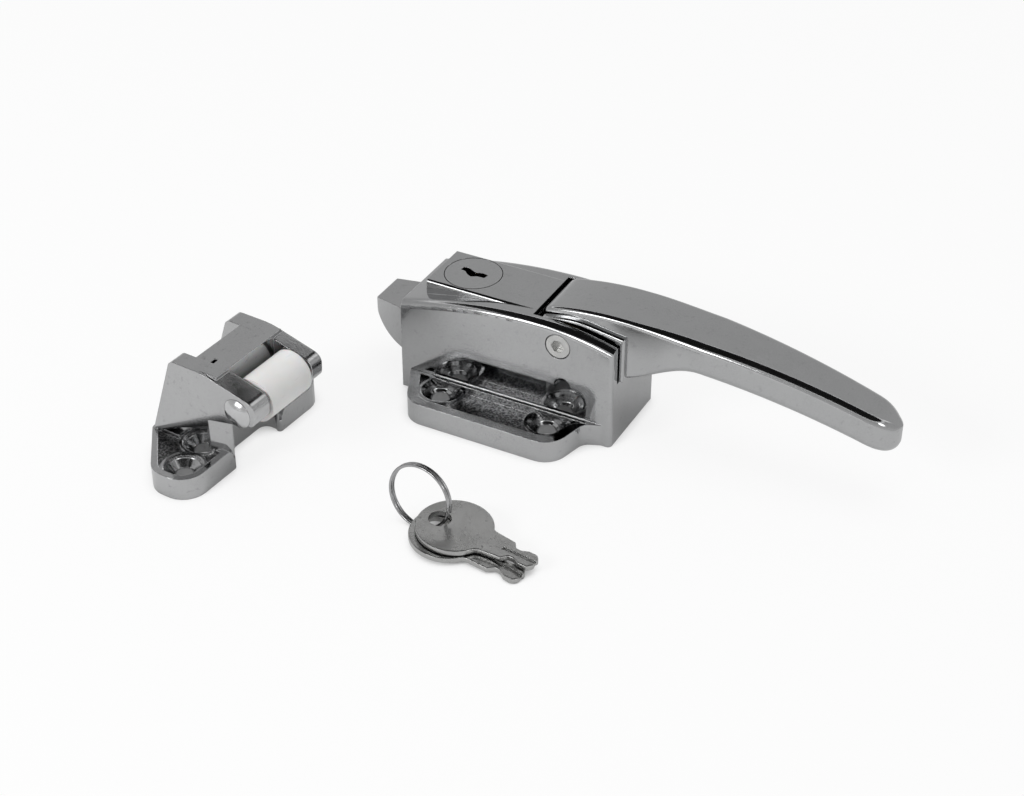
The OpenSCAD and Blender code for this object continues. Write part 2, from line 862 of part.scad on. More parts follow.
// Plug with its face, keyway, wafer slots, clip groove and tapped foot
module lock_plug() {
    foot = cam_low + cam_t;
    color(bright)
        translate([lock_x, 0, 0])
            difference() {
                union() {
                    translate([0, 0, crown_h - lock_face_t + seat_gap])
                        cylinder(h = lock_face_t - seat_gap, d = lock_d);
                    translate([0, 0, lock_low])
                        cylinder(h = crown_h - lock_low - 1, d = plug_d);
                    translate([0, 0, foot])
                        cylinder(h = lock_low - foot + eps, d = clip_seat_d);
                }
                keyway_cut();
                for (i = [0:wafer_count - 1])
                    translate([-plug_d, -wafer_w / 2 - 0.1, wafer_z0 + i * wafer_step - 0.1])
                        cube([2 * plug_d, wafer_w + 0.2, wafer_t + 0.2]);
                translate([0, 0, foot - 1])
                    cylinder(h = 3.6, d = cam_bore_d);
            }
}

// Stepped keyway through the face
module keyway_cut() {
    w = 1.5;
    low = wafer_z0 - 0.8;
    translate([-keyway_l / 2, 0, low])
        cube([keyway_l / 2 + 0.9, w, lock_depth]);
    translate([-0.9, -w, low])
        cube([keyway_l / 2 + 0.9, w + eps, lock_depth]);
}

// Wafers in the slots of the plug, each with a window for the key
module lock_wafers() {
    color("goldenrod")
        translate([lock_x, 0, wafer_z0])
            for (i = [0:wafer_count - 1])
                translate([0, 0, i * wafer_step])
                    difference() {
                        translate([-wafer_l / 2, -wafer_w / 2, 0])
                            cube([wafer_l, wafer_w, wafer_t]);
                        translate([-wafer_l / 2 + 0.7, -wafer_w / 2 + 0.7, -1])
                            cube([wafer_l - 1.4, wafer_w - 1.4, wafer_t + 2]);
                    }
}

// Cam on the foot of the plug, turning above the bolt
module lock_cam() {
    color(steel)
        translate([lock_x, 0, cam_low])
            difference() {
                union() {
                    cylinder(h = cam_t, d = 11);
                    translate([0, -2.6, 0])
                        cube([barrel_d / 2 - 1, 5.2, cam_t]);
                }
                translate([0, 0, -1])
                    cylinder(h = cam_t + 2, d = cam_bore_d);
            }
}

// Screw that holds the cam to the plug
module cam_screw() {
    color(bright)
        translate([lock_x, 0, cam_low]) {
            translate([0, 0, -1])
                cylinder(h = 1, d = 6);
            translate([0, 0, -eps])
                cylinder(h = cam_t + 2.2, d = cam_bore_d - 2 * run_gap);
        }
}

// Base of the strike: two lobes joined by a block with a notch for the bolt
function strike_plan(inset) = rounded_outline([
    [-inset, lobe_y0 + inset, lobe_r - inset],
    [-inset, strike_mid - notch_w / 2, 1.2],
    [-2.6 - inset, strike_mid - notch_w / 2 - notch_swell, 1.6],
    [-notch_d, strike_mid - notch_w / 2 - notch_swell, notch_r],
    [-notch_d, strike_mid + notch_w / 2 + notch_swell, notch_r],
    [-2.6 - inset, strike_mid + notch_w / 2 + notch_swell, 1.6],
    [-inset, strike_mid + notch_w / 2, 1.2],
    [-inset, lobe_y1 - inset, lobe_r - inset],
    [lobe_x - strike_depth + inset * 0.5, lobe_y1 - inset, lobe_r - inset],
    [inset - strike_depth, cheek_y0 + strike_w - 0.4, 3],
    [inset - strike_depth, cheek_y0 + 0.4, 3],
    [lobe_x - strike_depth + inset * 0.5, lobe_y0 + inset, lobe_r - inset]
]);

// Height of the sloped underside of an arm at x
function arm_low(x) = axle_h - 4.9 + 0.21 * (x - axle_x);

// Side outline of a cheek: sloped ear, arm for the roller, wall, alcove
function cheek_outline() = rounded_outline([
    [-strike_depth + 0.8, flange_h - 1, 0],
    [ear_x0, strike_h, 2.5],
    [-6, strike_h, 30],
    [axle_x + 8, axle_h + 5.4, 4],
    [axle_x + 7.6, arm_low(axle_x + 7.6), 3.4],
    [0, arm_low(0), 0],
    [0, flange_h - 1, 0],
    [pillar_x, flange_h - 1, 0],
    [pillar_x, alcove_h - 1.8, 2]
]);

// One cheek, standing on the base
module cheek() {
    translate([0, cheek_y0 + cheek_t / 2, 0])
        side_profile(cheek_outline(), cheek_t);
}

// Nearer arm of the fork, thicker than its cheek
module near_arm() {
    translate([0, cheek_y0 + near_arm_t / 2, 0])
        intersection() {
            side_profile(cheek_outline(), near_arm_t);
            side_profile([
                [web_x1 - 2, arm_low(web_x1 - 2)],
                [web_x1 - 2, strike_h],
                [axle_x + 9, strike_h],
                [axle_x + 9, arm_low(axle_x + 9)]
            ], strike_w);
        }
}

// Space in front of the slanted wall that runs from the alcove to the mouth
module front_space(z0, z1) {
    edge = strike_mid - mouth_w / 2;
    run = wall_x - pillar_x - 1;
    translate([0, 0, z0])
        linear_extrude(height = z1 - z0)
            polygon([
                [pillar_x + 1 - run / (edge - cheek_y0), cheek_y0 - 1],
                [wall_x, edge],
                [wall_x, edge + 3],
                [4, edge + 3],
                [4, cheek_y0 - 1]
            ]);
}

// That space under an arm, up to its sloped underside
module under_arm() {
    intersection() {
        front_space(flange_h, strike_h);
        translate([0, cheek_y0 + 4, 0])
            side_profile([
                [pillar_x - 3, flange_h - 1],
                [pillar_x - 3, arm_low(pillar_x - 3)],
                [5, arm_low(5)],
                [5, flange_h - 1]
            ], 12);
    }
}

// Low ledge at the corner of the notch, where the rim of a lobe runs out
module corner_ledge() {
    edge = strike_mid - mouth_w / 2;
    intersection() {
        front_space(0, flange_h + 2);
        rotate([90, 0, 90])
            linear_extrude(height = 20, center = true)
                polygon([
                    [edge - 3, flange_h],
                    [edge - 0.9, flange_h - 2.2],
                    [edge - 0.7, ledge_h],
                    [edge + 4, ledge_h],
                    [edge + 4, flange_h + 2],
                    [edge - 3, flange_h + 2]
                ]);
    }
}

// Same thing on both sides of the strike
module both_cheeks() {
    children();
    translate([0, 2 * strike_mid, 0])
        mirror([0, 1, 0])
            children();
}

// Block between the cheeks, with the mouth for the bolt cut under it
module strike_web() {
    difference() {
        translate([web_x0, cheek_y0 + 1, 1])
            cube([web_x1 - web_x0, strike_w - 2, strike_h - 1 - eps]);
        translate([-notch_d, strike_mid - mouth_w / 2, 0])
            cube([20, mouth_w, mouth_h]);
    }
}

// Space over the screw hole under a cheek
module strike_alcove() {
    translate([hole_b[0], hole_b[1], land_h])
        cylinder(h = alcove_h, r = alcove_r);
    translate([hole_b[0] - alcove_r, cheek_y0 - 1, land_h])
        cube([2 * alcove_r, hole_b[1] - cheek_y0 + 1, alcove_h]);
}

// Limits an alcove to the space under the slope of the cheek
module strike_alcove_limit() {
    translate([0, cheek_y0 + strike_w / 4, 0])
        side_profile([
            [-strike_depth - 2, 0],
            [-strike_depth - 2, flange_h - 1],
            [pillar_x, alcove_h - 1.8],
            [pillar_x, 0]
        ], strike_w / 2 + 4);
}

// Rough floor sunk into the top of one lobe
module lobe_pocket() {
    difference() {
        intersection() {
            translate([0, 0, land_h - 0.6])
                linear_extrude(height = flange_h)
                    polygon(strike_plan(2.6));
            translate([-strike_depth, lobe_y0, 0])
                cube([strike_depth, cheek_y0 - lobe_y0 + 1.2, flange_h + 1]);
        }
        for (h = [hole_a, hole_b])
            translate([h[0], h[1], 0])
                cylinder(h = land_h, r = land_r);
    }
}

module strike_body() {
    color(chrome)
        translate(strike_pos)
            rotate([0, 0, strike_turn])
                difference() {
                    union() {
                        linear_extrude(height = flange_h)
                            polygon(strike_plan(0));
                        strike_web();
                        both_cheeks() cheek();
                        near_arm();
                    }
                    both_cheeks() {
                        intersection() {
                            strike_alcove();
                            strike_alcove_limit();
                        }
                        lobe_pocket();
                        under_arm();
                        corner_ledge();
                        for (h = [hole_a, hole_b])
                            translate([h[0], h[1], 0])
                                screw_hole(land_h);
                    }
                    translate([axle_x, strike_mid, axle_h])
                        rotate([90, 0, 0])
                            cylinder(h = strike_w + 2, d = axle_d + 2 * run_gap, center = true);
                    // Relief on the inside of the farther arm
                    translate([web_x1, fork_y1 - far_arm_thin - eps, arm_low(0)])
                        cube([axle_x + 9, far_arm_thin + eps, strike_h]);
                    // Small slot in the top of the block
                    translate([-8.6, 1.2, strike_h - 3])
                        cube([1.6, 2.6, 4]);
                }
}

module strike_roller() {
    color("white")
        strike_axis()
            difference() {
                cylinder(h = roller_l, d = roller_d, center = true);
                cylinder(h = roller_l + 2, d = axle_d + 2 * run_gap, center = true);
            }
}

// Frame whose Z lies along the roller axle, from its middle
module strike_axis() {
    translate(strike_pos)
        rotate([0, 0, strike_turn])
            translate([axle_x, (fork_y0 + fork_y1) / 2, axle_h])
                rotate([90, 0, 0])
                    children();
}

// Axle with a domed head at each end
module roller_axle() {
    off = strike_mid - (fork_y0 + fork_y1) / 2;
    dome = pow(rivet_d / 2, 2) / (2 * rivet_h) + rivet_h / 2;
    color(bright)
        strike_axis()
            translate([0, 0, -off]) {
                cylinder(h = strike_w + eps, d = axle_d, center = true);
                for (s = [0, 180])
                    rotate([s, 0, 0])
                        translate([0, 0, strike_w / 2])
                            intersection() {
                                cylinder(h = rivet_h, d = rivet_d);
                                translate([0, 0, rivet_h - dome])
                                    sphere(r = dome);
                            }
            }
}

// Washers against the inner faces of the cheeks
module roller_washers() {
    color(steel)
        strike_axis()
            for (s = [-1, 1])
                translate([0, 0, s * ((fork_y1 - fork_y0) / 2 - washer_t / 2)])
                    difference() {
                        cylinder(h = washer_t, d = 11, center = true);
                        cylinder(h = washer_t + 1, d = axle_d + 2 * run_gap, center = true);
                    }
}

// Key: round bow with its hole at the origin, shoulders and a slim blade
module key(cuts) {
    neck = bow_mid + bow_d / 2 - 1.5;
    rotate([0, key_tilt, 0])
        difference() {
            union() {
                translate([bow_mid, 0, 0])
                    cylinder(h = key_t, d = bow_d);
                linear_extrude(height = key_t)
                    polygon(rounded_outline([
                        [bow_mid, -bow_d / 2 + 3, 0],
                        [neck - 1, -neck_w / 2 - 0.6, 5],
                        [neck + 6, -neck_w / 2, 1.2],
                        [neck + 7.5, -key_blade_w / 2, 0.8],
                        [key_l - 2, -key_blade_w / 2, 1.6],
                        [key_l, -1, 1.4],
                        [key_l, 1, 1.4],
                        [key_l - 2, key_blade_w / 2, 1.6],
                        [neck + 7.5, key_blade_w / 2, 0.8],
                        [neck + 6, neck_w / 2, 1.2],
                        [neck - 1, neck_w / 2 + 0.6, 5],
                        [bow_mid, bow_d / 2 - 3, 0]
                    ]));
            }
            translate([0, 0, -1])
                cylinder(h = key_t + 2, d = bow_hole_d);
            // Guide groove along the blade
            translate([neck + 2, -1.1, key_t - 0.7])
                cube([key_l, 1.5, 2]);
            // Bitting along one edge
            for (i = [0:len(cuts) - 1])
                translate([neck + 8.2 + i * 2.5, -key_blade_w / 2, -1])
                    rotate([0, 0, 45])
                        translate([-cuts[i], -cuts[i], 0])
                            cube([2 * cuts[i], 2 * cuts[i], key_t + 2]);
        }
}

module key_upper() {
    color(steel)
        translate(upper_hole)
            rotate([0, 0, upper_turn])
                key(key_cuts);
}

module key_lower() {
    color(steel)
        translate(lower_hole)
            rotate([0, 0, lower_turn])
                key(key_cuts);
}

// Split ring: turns of wire side by side, standing upright through the keys
module key_ring() {
    color(steel)
        translate(ring_mid)
            rotate([0, 0, ring_turn - 90])
                rotate([0, ring_lean, 0])
                    translate([-(ring_travel + ring_wire) / 2, 0, 0])
                        rotate([ring_start, 0, 0])
                            coil(ring_r, ring_wire, ring_travel + ring_wire, ring_turns, 8, 40);
}

housing();
lever();
lever_bush();
pivot_pin();
pivot_nut();
pivot_washers();
bolt();
bolt_springs();
spring_guides();
lock_barrel();
lock_clip();
lock_plug();
lock_wafers();
lock_cam();
cam_screw();
strike_body();
strike_roller();
roller_axle();
roller_washers();
key_upper();
key_lower();
key_ring();
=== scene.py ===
"""Looks of the cold room door latch: finishes, smoother pieces, studio and camera.

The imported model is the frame. Rigid pieces whose shape is right keep their own
solids and get a finish. The lever, the lock's plug, the bolt springs, the keys
and the split ring are rebuilt here as smoother surfaces in the same places.
"""

import itertools
import json
import logging
import math
from dataclasses import dataclass
from enum import Enum

import bmesh
import bpy
import numpy as np
from mathutils import Matrix, Vector
from mathutils.geometry import tessellate_polygon

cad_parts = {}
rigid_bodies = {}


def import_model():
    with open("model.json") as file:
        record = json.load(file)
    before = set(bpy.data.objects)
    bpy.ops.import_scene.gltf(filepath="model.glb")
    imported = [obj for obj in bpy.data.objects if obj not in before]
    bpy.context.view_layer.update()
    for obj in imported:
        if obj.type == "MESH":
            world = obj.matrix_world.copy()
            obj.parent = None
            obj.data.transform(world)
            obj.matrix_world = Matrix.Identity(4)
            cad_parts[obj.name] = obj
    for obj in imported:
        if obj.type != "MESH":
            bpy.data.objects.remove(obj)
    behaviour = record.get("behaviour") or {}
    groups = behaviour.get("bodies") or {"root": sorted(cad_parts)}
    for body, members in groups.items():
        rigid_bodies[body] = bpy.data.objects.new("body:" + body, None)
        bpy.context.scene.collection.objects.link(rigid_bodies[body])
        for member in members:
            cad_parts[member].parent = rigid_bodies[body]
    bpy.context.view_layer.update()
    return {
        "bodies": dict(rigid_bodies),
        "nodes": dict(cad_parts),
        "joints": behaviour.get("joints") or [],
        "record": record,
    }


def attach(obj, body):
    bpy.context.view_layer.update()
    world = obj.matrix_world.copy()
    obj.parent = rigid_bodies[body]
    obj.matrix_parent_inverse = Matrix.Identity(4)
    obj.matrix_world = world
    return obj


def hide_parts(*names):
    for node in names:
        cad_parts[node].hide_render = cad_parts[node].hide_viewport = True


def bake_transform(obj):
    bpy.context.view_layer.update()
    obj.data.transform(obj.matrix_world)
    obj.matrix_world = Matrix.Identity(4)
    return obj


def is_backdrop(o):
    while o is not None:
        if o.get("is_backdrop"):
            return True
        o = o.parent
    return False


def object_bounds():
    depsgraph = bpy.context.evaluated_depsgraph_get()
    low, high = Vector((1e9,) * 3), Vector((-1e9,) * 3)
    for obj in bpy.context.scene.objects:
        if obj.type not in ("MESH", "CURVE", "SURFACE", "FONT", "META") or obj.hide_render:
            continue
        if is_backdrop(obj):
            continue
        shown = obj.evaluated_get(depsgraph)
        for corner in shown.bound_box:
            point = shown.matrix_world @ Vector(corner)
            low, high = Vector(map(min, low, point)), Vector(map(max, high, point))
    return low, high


LOG = logging.getLogger("door_latch")
MM = 0.001
CHROME = (0.455, 0.458, 0.462)
# Near black that stands for painted shade in creases, holes and recesses.
SHADE_BLACK = (0.012, 0.012, 0.012)
SOOT = (0.03, 0.03, 0.032)
WHITE = (1.0, 1.0, 1.0)
SHARP_EDGE = math.radians(35)

Piece = bpy.types.Object
Material = bpy.types.Material
Socket = bpy.types.NodeSocket
Tree = bpy.types.NodeTree


class Side(Enum):
    """Which side of the latch a piece stands on."""

    NEAR = -1
    FAR = 1


# Mesh helpers


def make_object(name: str, verts: np.ndarray, faces: list, smooth: bool = True) -> Piece:
    """Puts points and faces into a new object at the origin.

    Args:
        name: Name of the piece.
        verts: Points in millimetres, one row each.
        faces: Lists of point numbers, turning outwards.
        smooth: Whether the faces share their normals.

    Returns:
        The new object, linked to the scene.
    """
    mesh = bpy.data.meshes.new(name)
    mesh.from_pydata((np.asarray(verts, float) * MM).tolist(), [], faces)
    mesh.update()
    mesh.polygons.foreach_set("use_smooth", [smooth] * len(mesh.polygons))
    obj = bpy.data.objects.new(name, mesh)
    bpy.context.scene.collection.objects.link(obj)
    return obj


def skin(rings: np.ndarray, closed: bool = False, caps: bool = True) -> tuple:
    """Joins a stack of rings to one closed surface.

    Ring j, point i has the number j * n + i, and each pair of neighbouring
    rings is joined by n four-sided faces.

    Args:
        rings: Array of rings by points by three coordinates.
        closed: Whether the last ring joins the first.
        caps: Whether the two ends are closed with flat faces.

    Returns:
        The points and the faces.
    """
    m, n = rings.shape[:2]
    last = m if closed else m - 1
    j, i = np.meshgrid(np.arange(last), np.arange(n), indexing="ij")
    k, nxt = (i + 1) % n, (j + 1) % m
    quads = np.stack([j * n + i, j * n + k, nxt * n + k, nxt * n + i], -1).reshape(-1, 4)
    faces = quads.tolist()
    if caps and not closed:
        faces.append(list(range(n - 1, -1, -1)))
        faces.append(list(range((m - 1) * n, m * n)))
    return rings.reshape(-1, 3), faces


def face_outwards(obj: Piece) -> Piece:
    """Turns the faces of a closed piece outwards, judged by its signed volume.

    Args:
        obj: The piece.

    Returns:
        The same piece.
    """
    mesh = obj.data
    mesh.calc_loop_triangles()
    tri = np.empty(len(mesh.loop_triangles) * 3, np.int32)
    mesh.loop_triangles.foreach_get("vertices", tri)
    co = np.empty(len(mesh.vertices) * 3, np.float32)
    mesh.vertices.foreach_get("co", co)
    p = co.reshape(-1, 3)[tri.reshape(-1, 3)].astype(float)
    if np.einsum("ij,ij->i", p[:, 0], np.cross(p[:, 1], p[:, 2])).sum() < 0:
        mesh.flip_normals()
    return obj


def ease(t: np.ndarray) -> np.ndarray:
    """Smooth step from 0 to 1: t squared times (3 minus 2 t)."""
    t = np.clip(t, 0.0, 1.0)
    return t * t * (3 - 2 * t)


def arc(cx: float, cy: float, r: float, a0: float, a1: float, n: int) -> np.ndarray:
    """Points at the centre plus r times (cos a, sin a), with a from a0 to a1 degrees."""
    a = np.radians(np.linspace(a0, a1, n))
    return np.stack([cx + r * np.cos(a), cy + r * np.sin(a)], -1)


def tube(
    path: np.ndarray, out: np.ndarray, side: np.ndarray, radius: float, sides: int
) -> np.ndarray:
    """Rings of a round wire: the path's point plus r (cos b out + sin b side), with b all round."""
    b = np.linspace(0, 2 * math.pi, sides, endpoint=False)[None, :, None]
    return path[:, None] + radius * (np.cos(b) * out[:, None] + np.sin(b) * side[:, None])


def round_corners(corners: list, steps: int = 6) -> np.ndarray:
    """Outline whose corners are replaced by arcs.

    Each arc touches both sides of its corner. Its centre lies on the line that
    halves the corner, at the radius divided by the sine of half the angle.

    Args:
        corners: Two coordinates and a radius for each corner, turning left.
        steps: Steps of each arc.

    Returns:
        One row of two numbers for each point.
    """
    pts = np.array(corners, float)
    out = []
    for k in range(len(pts)):
        a, p, b = pts[k - 1, :2], pts[k, :2], pts[(k + 1) % len(pts), :2]
        r = pts[k, 2]
        if r <= 0:
            out.append(p[None])
            continue
        u, v = (a - p) / np.linalg.norm(a - p), (b - p) / np.linalg.norm(b - p)
        half = math.acos(float(np.clip(u @ v, -1, 1))) / 2
        c = p + (u + v) / np.linalg.norm(u + v) * r / math.sin(half)
        reach = r / math.tan(half)
        first, last = p + u * reach - c, p + v * reach - c
        a0 = math.atan2(first[1], first[0])
        sweep = (math.atan2(last[1], last[0]) - a0 + math.pi) % (2 * math.pi) - math.pi
        out.append(arc(c[0], c[1], r, math.degrees(a0), math.degrees(a0 + sweep), steps + 1))
    return np.concatenate(out)


def outward(outline: np.ndarray) -> np.ndarray:
    """Normals of an outline, each square to the line between its two neighbours.

    Args:
        outline: Points of the outline, turning left.

    Returns:
        One vector of length 1 for each point, pointing out.
    """
    ahead = np.roll(outline, -1, 0) - np.roll(outline, 1, 0)
    normal = np.stack([ahead[:, 1], -ahead[:, 0]], -1)
    return normal / np.maximum(np.linalg.norm(normal, axis=1, keepdims=True), 1e-9)


def rounded_slab(
    outline: np.ndarray, half: float, edge: float, bore: tuple = (), steps: int = 5
) -> tuple:
    """Slab with a side outline in X and Z, with rounded rims at both faces.

    Ring k stands at y = plus or minus (half - edge + edge * sin a) and is the
    outline moved inwards by edge * (1 - cos a) along its own normals, with a
    from 90 degrees at one face through 0 to 90 degrees at the other. One more
    ring beside each rim keeps the normals of the flats. A bore adds two rings,
    each point straight between the bore's centre and the outline's point, at
    the bore's radius.

    Args:
        outline: Points of the outline, turning left.
        half: Half the thickness in millimetres.
        edge: Radius of the rims.
        bore: Centre in X and Z and radius of a hole, or nothing.
        steps: Steps of each rounded rim.

    Returns:
        The points and the faces.
    """
    a = np.radians(np.linspace(0, 90, steps))
    depth = edge * (1 - np.cos(a))
    y = half - edge + edge * np.sin(a)
    guard = 0.15
    depth = np.concatenate([[0], depth, [edge + guard]])
    y = np.concatenate([[half - edge - guard], y, [half]])
    inset = np.concatenate([depth[::-1], depth])
    level = np.concatenate([-y[::-1], y])
    flat = outline[None] - outward(outline)[None] * inset[:, None, None]
    if bore:
        away = outline - np.array(bore[:2])
        hole = np.array(bore[:2]) + away / np.linalg.norm(away, axis=1, keepdims=True) * bore[2]
        flat = np.concatenate([flat, hole[None], hole[None]])
        level = np.concatenate([level, [half, -half]])
    across = np.broadcast_to(level[:, None], flat.shape[:2])
    return skin(np.stack([flat[..., 0], across, flat[..., 1]], -1), closed=bool(bore))


def flat_cap(outlines: list, numbers: list, level: float) -> list:
    """Flat face between an outline and the holes in it, as triangles.

    Args:
        outlines: Points in X and Y, the outer outline first.
        numbers: For each outline, the number of its first point in the mesh.
        level: Height of the face.

    Returns:
        Lists of point numbers.
    """
    loops = [[Vector((float(x), float(y), level)) for x, y in loop] for loop in outlines]
    index = np.concatenate([first + np.arange(len(loop)) for first, loop in zip(numbers, outlines)])
    return [[int(index[k]) for k in tri] for tri in tessellate_polygon(loops)]


def plate(
    outline: np.ndarray, low: float, high: float, edge: float,
    hole: np.ndarray = None, steps: int = 4,
) -> tuple:
    """Level plate with rounded rims and a straight hole.

    Ring k of the outside stands between the two faces, moved inwards by
    edge * (1 - cos a) at the height of the face less edge * (1 - sin a), with
    a from 0 to 90 degrees. The hole's two rings stand at the faces.

    Args:
        outline: Points in X and Y, turning left.
        low: Height of the lower face.
        high: Height of the upper face.
        edge: Radius of the rims.
        hole: Points of the hole, turning left, or nothing.
        steps: Steps of each rounded rim.

    Returns:
        The points and the faces.
    """
    guard = [edge + 0.08]
    a = np.radians(np.linspace(0, 90, steps))
    depth = edge * (1 - np.cos(a))
    inset = np.concatenate([guard, depth[::-1], depth, guard])
    rise = edge * (1 - np.sin(a))
    level = np.concatenate([[low], low + rise[::-1], high - rise, [high]])
    flat = outline[None] - outward(outline)[None] * inset[:, None, None]
    rings = np.concatenate([flat, np.broadcast_to(level[:, None, None], (*flat.shape[:2], 1))], -1)
    verts, faces = skin(rings, caps=False)
    first_low, first_high = 0, (len(level) - 1) * len(outline)
    inner = [flat[0]]
    if hole is not None:
        start, count = len(verts), len(hole)
        walls = [np.column_stack([hole, np.full(count, z)]) for z in (high, low)]
        verts = np.concatenate([verts, *walls])
        k = np.arange(count)
        nxt = (k + 1) % count
        quads = [start + k, start + nxt, start + count + nxt, start + count + k]
        faces += np.stack(quads, -1).tolist()
        inner.append(hole)
        faces += flat_cap(inner, [first_high, start], high)
        faces += [tri[::-1] for tri in flat_cap(inner, [first_low, start + count], low)]
    else:
        faces += flat_cap(inner, [first_high], high)
        faces += [tri[::-1] for tri in flat_cap(inner, [first_low], low)]
    return verts, faces


def stack_shapes(shapes: list) -> tuple:
    """Puts several shapes into one list of points and faces.

    Args:
        shapes: Points and faces of each.

    Returns:
        The points and the faces.
    """
    verts, faces, start = [], [], 0
    for points, polygons in shapes:
        verts.append(points)
        faces += [[start + k for k in face] for face in polygons]
        start += len(points)
    return np.concatenate(verts), faces


def even_normals(obj: Piece) -> Piece:
    """Makes the faces agree and point outwards, and keeps sharp edges above 35 degrees.

    Args:
        obj: A piece of closed shells.

    Returns:
        The same piece.
    """
    mesh = bmesh.new()
    mesh.from_mesh(obj.data)
    bmesh.ops.recalc_face_normals(mesh, faces=mesh.faces)
    for line in mesh.edges:
        line.smooth = line.calc_face_angle(0.0) < SHARP_EDGE
    mesh.to_mesh(obj.data)
    mesh.free()
    return obj


def carve(obj: Piece, low: tuple, high: tuple, place: Matrix) -> None:
    """Cuts a box out of a piece.

    Args:
        obj: The piece.
        low: Low corner of the box in millimetres, in its own frame.
        high: High corner.
        place: Place of that frame, in millimetres.
    """
    spots = np.array([place @ Vector(spot) for spot in itertools.product(*zip(low, high))])
    sides = [[0, 1, 3, 2], [4, 6, 7, 5], [0, 4, 5, 1], [2, 3, 7, 6], [0, 2, 6, 4], [1, 5, 7, 3]]
    tool = even_normals(make_object("cutter", spots, sides, smooth=False))
    cut = obj.modifiers.new("groove", "BOOLEAN")
    cut.operation = "DIFFERENCE"
    cut.solver = "EXACT"
    cut.object = tool
    graph = bpy.context.evaluated_depsgraph_get()
    shaped = bpy.data.meshes.new_from_object(obj.evaluated_get(graph))
    obj.modifiers.clear()
    obj.data = shaped
    bpy.data.objects.remove(tool)


# Node groups and finishes


class Nodes:
    """Short way to add and link nodes of one tree."""

    def __init__(self, tree: Tree) -> None:
        """Keeps the tree."""
        self.tree = tree

    def add(self, kind: str, **values: object) -> bpy.types.Node:
        """Adds a node.

        Args:
            kind: Name of the node type after ShaderNode.
            values: Properties, or sockets with links or plain values, with _ for a space.

        Returns:
            The node.
        """
        node = self.tree.nodes.new(kind if kind.startswith("NodeGroup") else "ShaderNode" + kind)
        for key, value in values.items():
            if hasattr(node, key) and key not in node.inputs:
                setattr(node, key, value)
                continue
            if key[0] == "i" and key[1:].isdigit():
                target = node.inputs[int(key[1:])]
            else:
                target = node.inputs[key.replace("_", " ")]
            if isinstance(value, Socket):
                self.tree.links.new(value, target)
            else:
                target.default_value = value
        return node

    def link(self, node: bpy.types.Node, **sockets: object) -> None:
        """Links sockets to inputs of a node, with _ for a space."""
        for key, socket in sockets.items():
            self.tree.links.new(socket, node.inputs[key.replace("_", " ")])

    def math(self, op: str, a: object, b: object = 0.0, clamp: bool = False) -> Socket:
        """Result of one sum of two numbers or sockets, kept from 0 to 1 if clamp is set."""
        return self.add("Math", operation=op, use_clamp=clamp, i0=a, i1=b).outputs[0]

    def mul(self, a: object, b: object) -> Socket:
        """Product of two numbers."""
        return self.math("MULTIPLY", a, b)

    def plus(self, total: object, value: object, share: float) -> Socket:
        """A number plus a share of another."""
        return self.math("ADD", total, self.mul(value, share))

    def ramp(
        self, value: object, low: float, high: float, to_low: float = 0.0, to_high: float = 1.0
    ) -> Socket:
        """Maps the range from low to high to another, held at its ends."""
        return self.add(
            "MapRange", Value=value, From_Min=low, From_Max=high, To_Min=to_low, To_Max=to_high
        ).outputs[0]

    def above(self, length: object, level: float, soft: float = 0.1) -> Socket:
        """Mask of lengths above a level in millimetres."""
        return self.ramp(length, (level - soft) * MM, (level + soft) * MM)

    def below(self, length: object, level: float, soft: float = 0.1) -> Socket:
        """Mask of lengths below a level in millimetres."""
        return self.ramp(length, (level - soft) * MM, (level + soft) * MM, 1.0, 0.0)

    def mix(self, share: object, first: object, second: object) -> Socket:
        """Blend of two colours, which are sockets or three numbers."""
        ends = [(*c, 1.0) if isinstance(c, tuple) else c for c in (first, second)]
        return self.add("Mix", data_type="RGBA", i0=share, i6=ends[0], i7=ends[1]).outputs[2]

    def noise(self, where: object, scale: float, detail: float = 2.0, rough: float = 0.5) -> Socket:
        """Noise about 0.5 at a place, with scale spots in a metre and layers of finer noise."""
        node = self.add("TexNoise", Vector=where, Scale=scale, Detail=detail, Roughness=rough)
        return node.outputs[0]

    def away(self, place: object, spot: tuple, across: tuple) -> Socket:
        """Metres from a line through a spot, with 1 across for the axes square to it."""
        flat = self.add(
            "VectorMath", operation="MULTIPLY_ADD", i0=place, i1=across, i2=[-c * MM for c in spot]
        ).outputs[0]
        return self.add("VectorMath", operation="LENGTH", i0=flat).outputs["Value"]

    def group(self, name: str, maker: object, **values: object) -> object:
        """Outputs of a node group, which is made on its first use."""
        tree = bpy.data.node_groups.get(name) or maker()
        return self.add("Group", node_tree=tree, **values).outputs


def new_group(name: str, inputs: dict, outputs: dict) -> tuple:
    """Starts a node group.

    Args:
        name: Name of the group.
        inputs: Socket name to kind and default value.
        outputs: Socket name to kind.

    Returns:
        The group, its Nodes, its input node and its output node.
    """
    tree = bpy.data.node_groups.new(name, "ShaderNodeTree")
    for key, (kind, value) in inputs.items():
        socket = tree.interface.new_socket(key, in_out="INPUT", socket_type="NodeSocket" + kind)
        if value is not None:
            socket.default_value = value
    for key, kind in outputs.items():
        tree.interface.new_socket(key, in_out="OUTPUT", socket_type="NodeSocket" + kind)
    nodes = Nodes(tree)
    return tree, nodes, nodes.add("NodeGroupInput"), nodes.add("NodeGroupOutput")


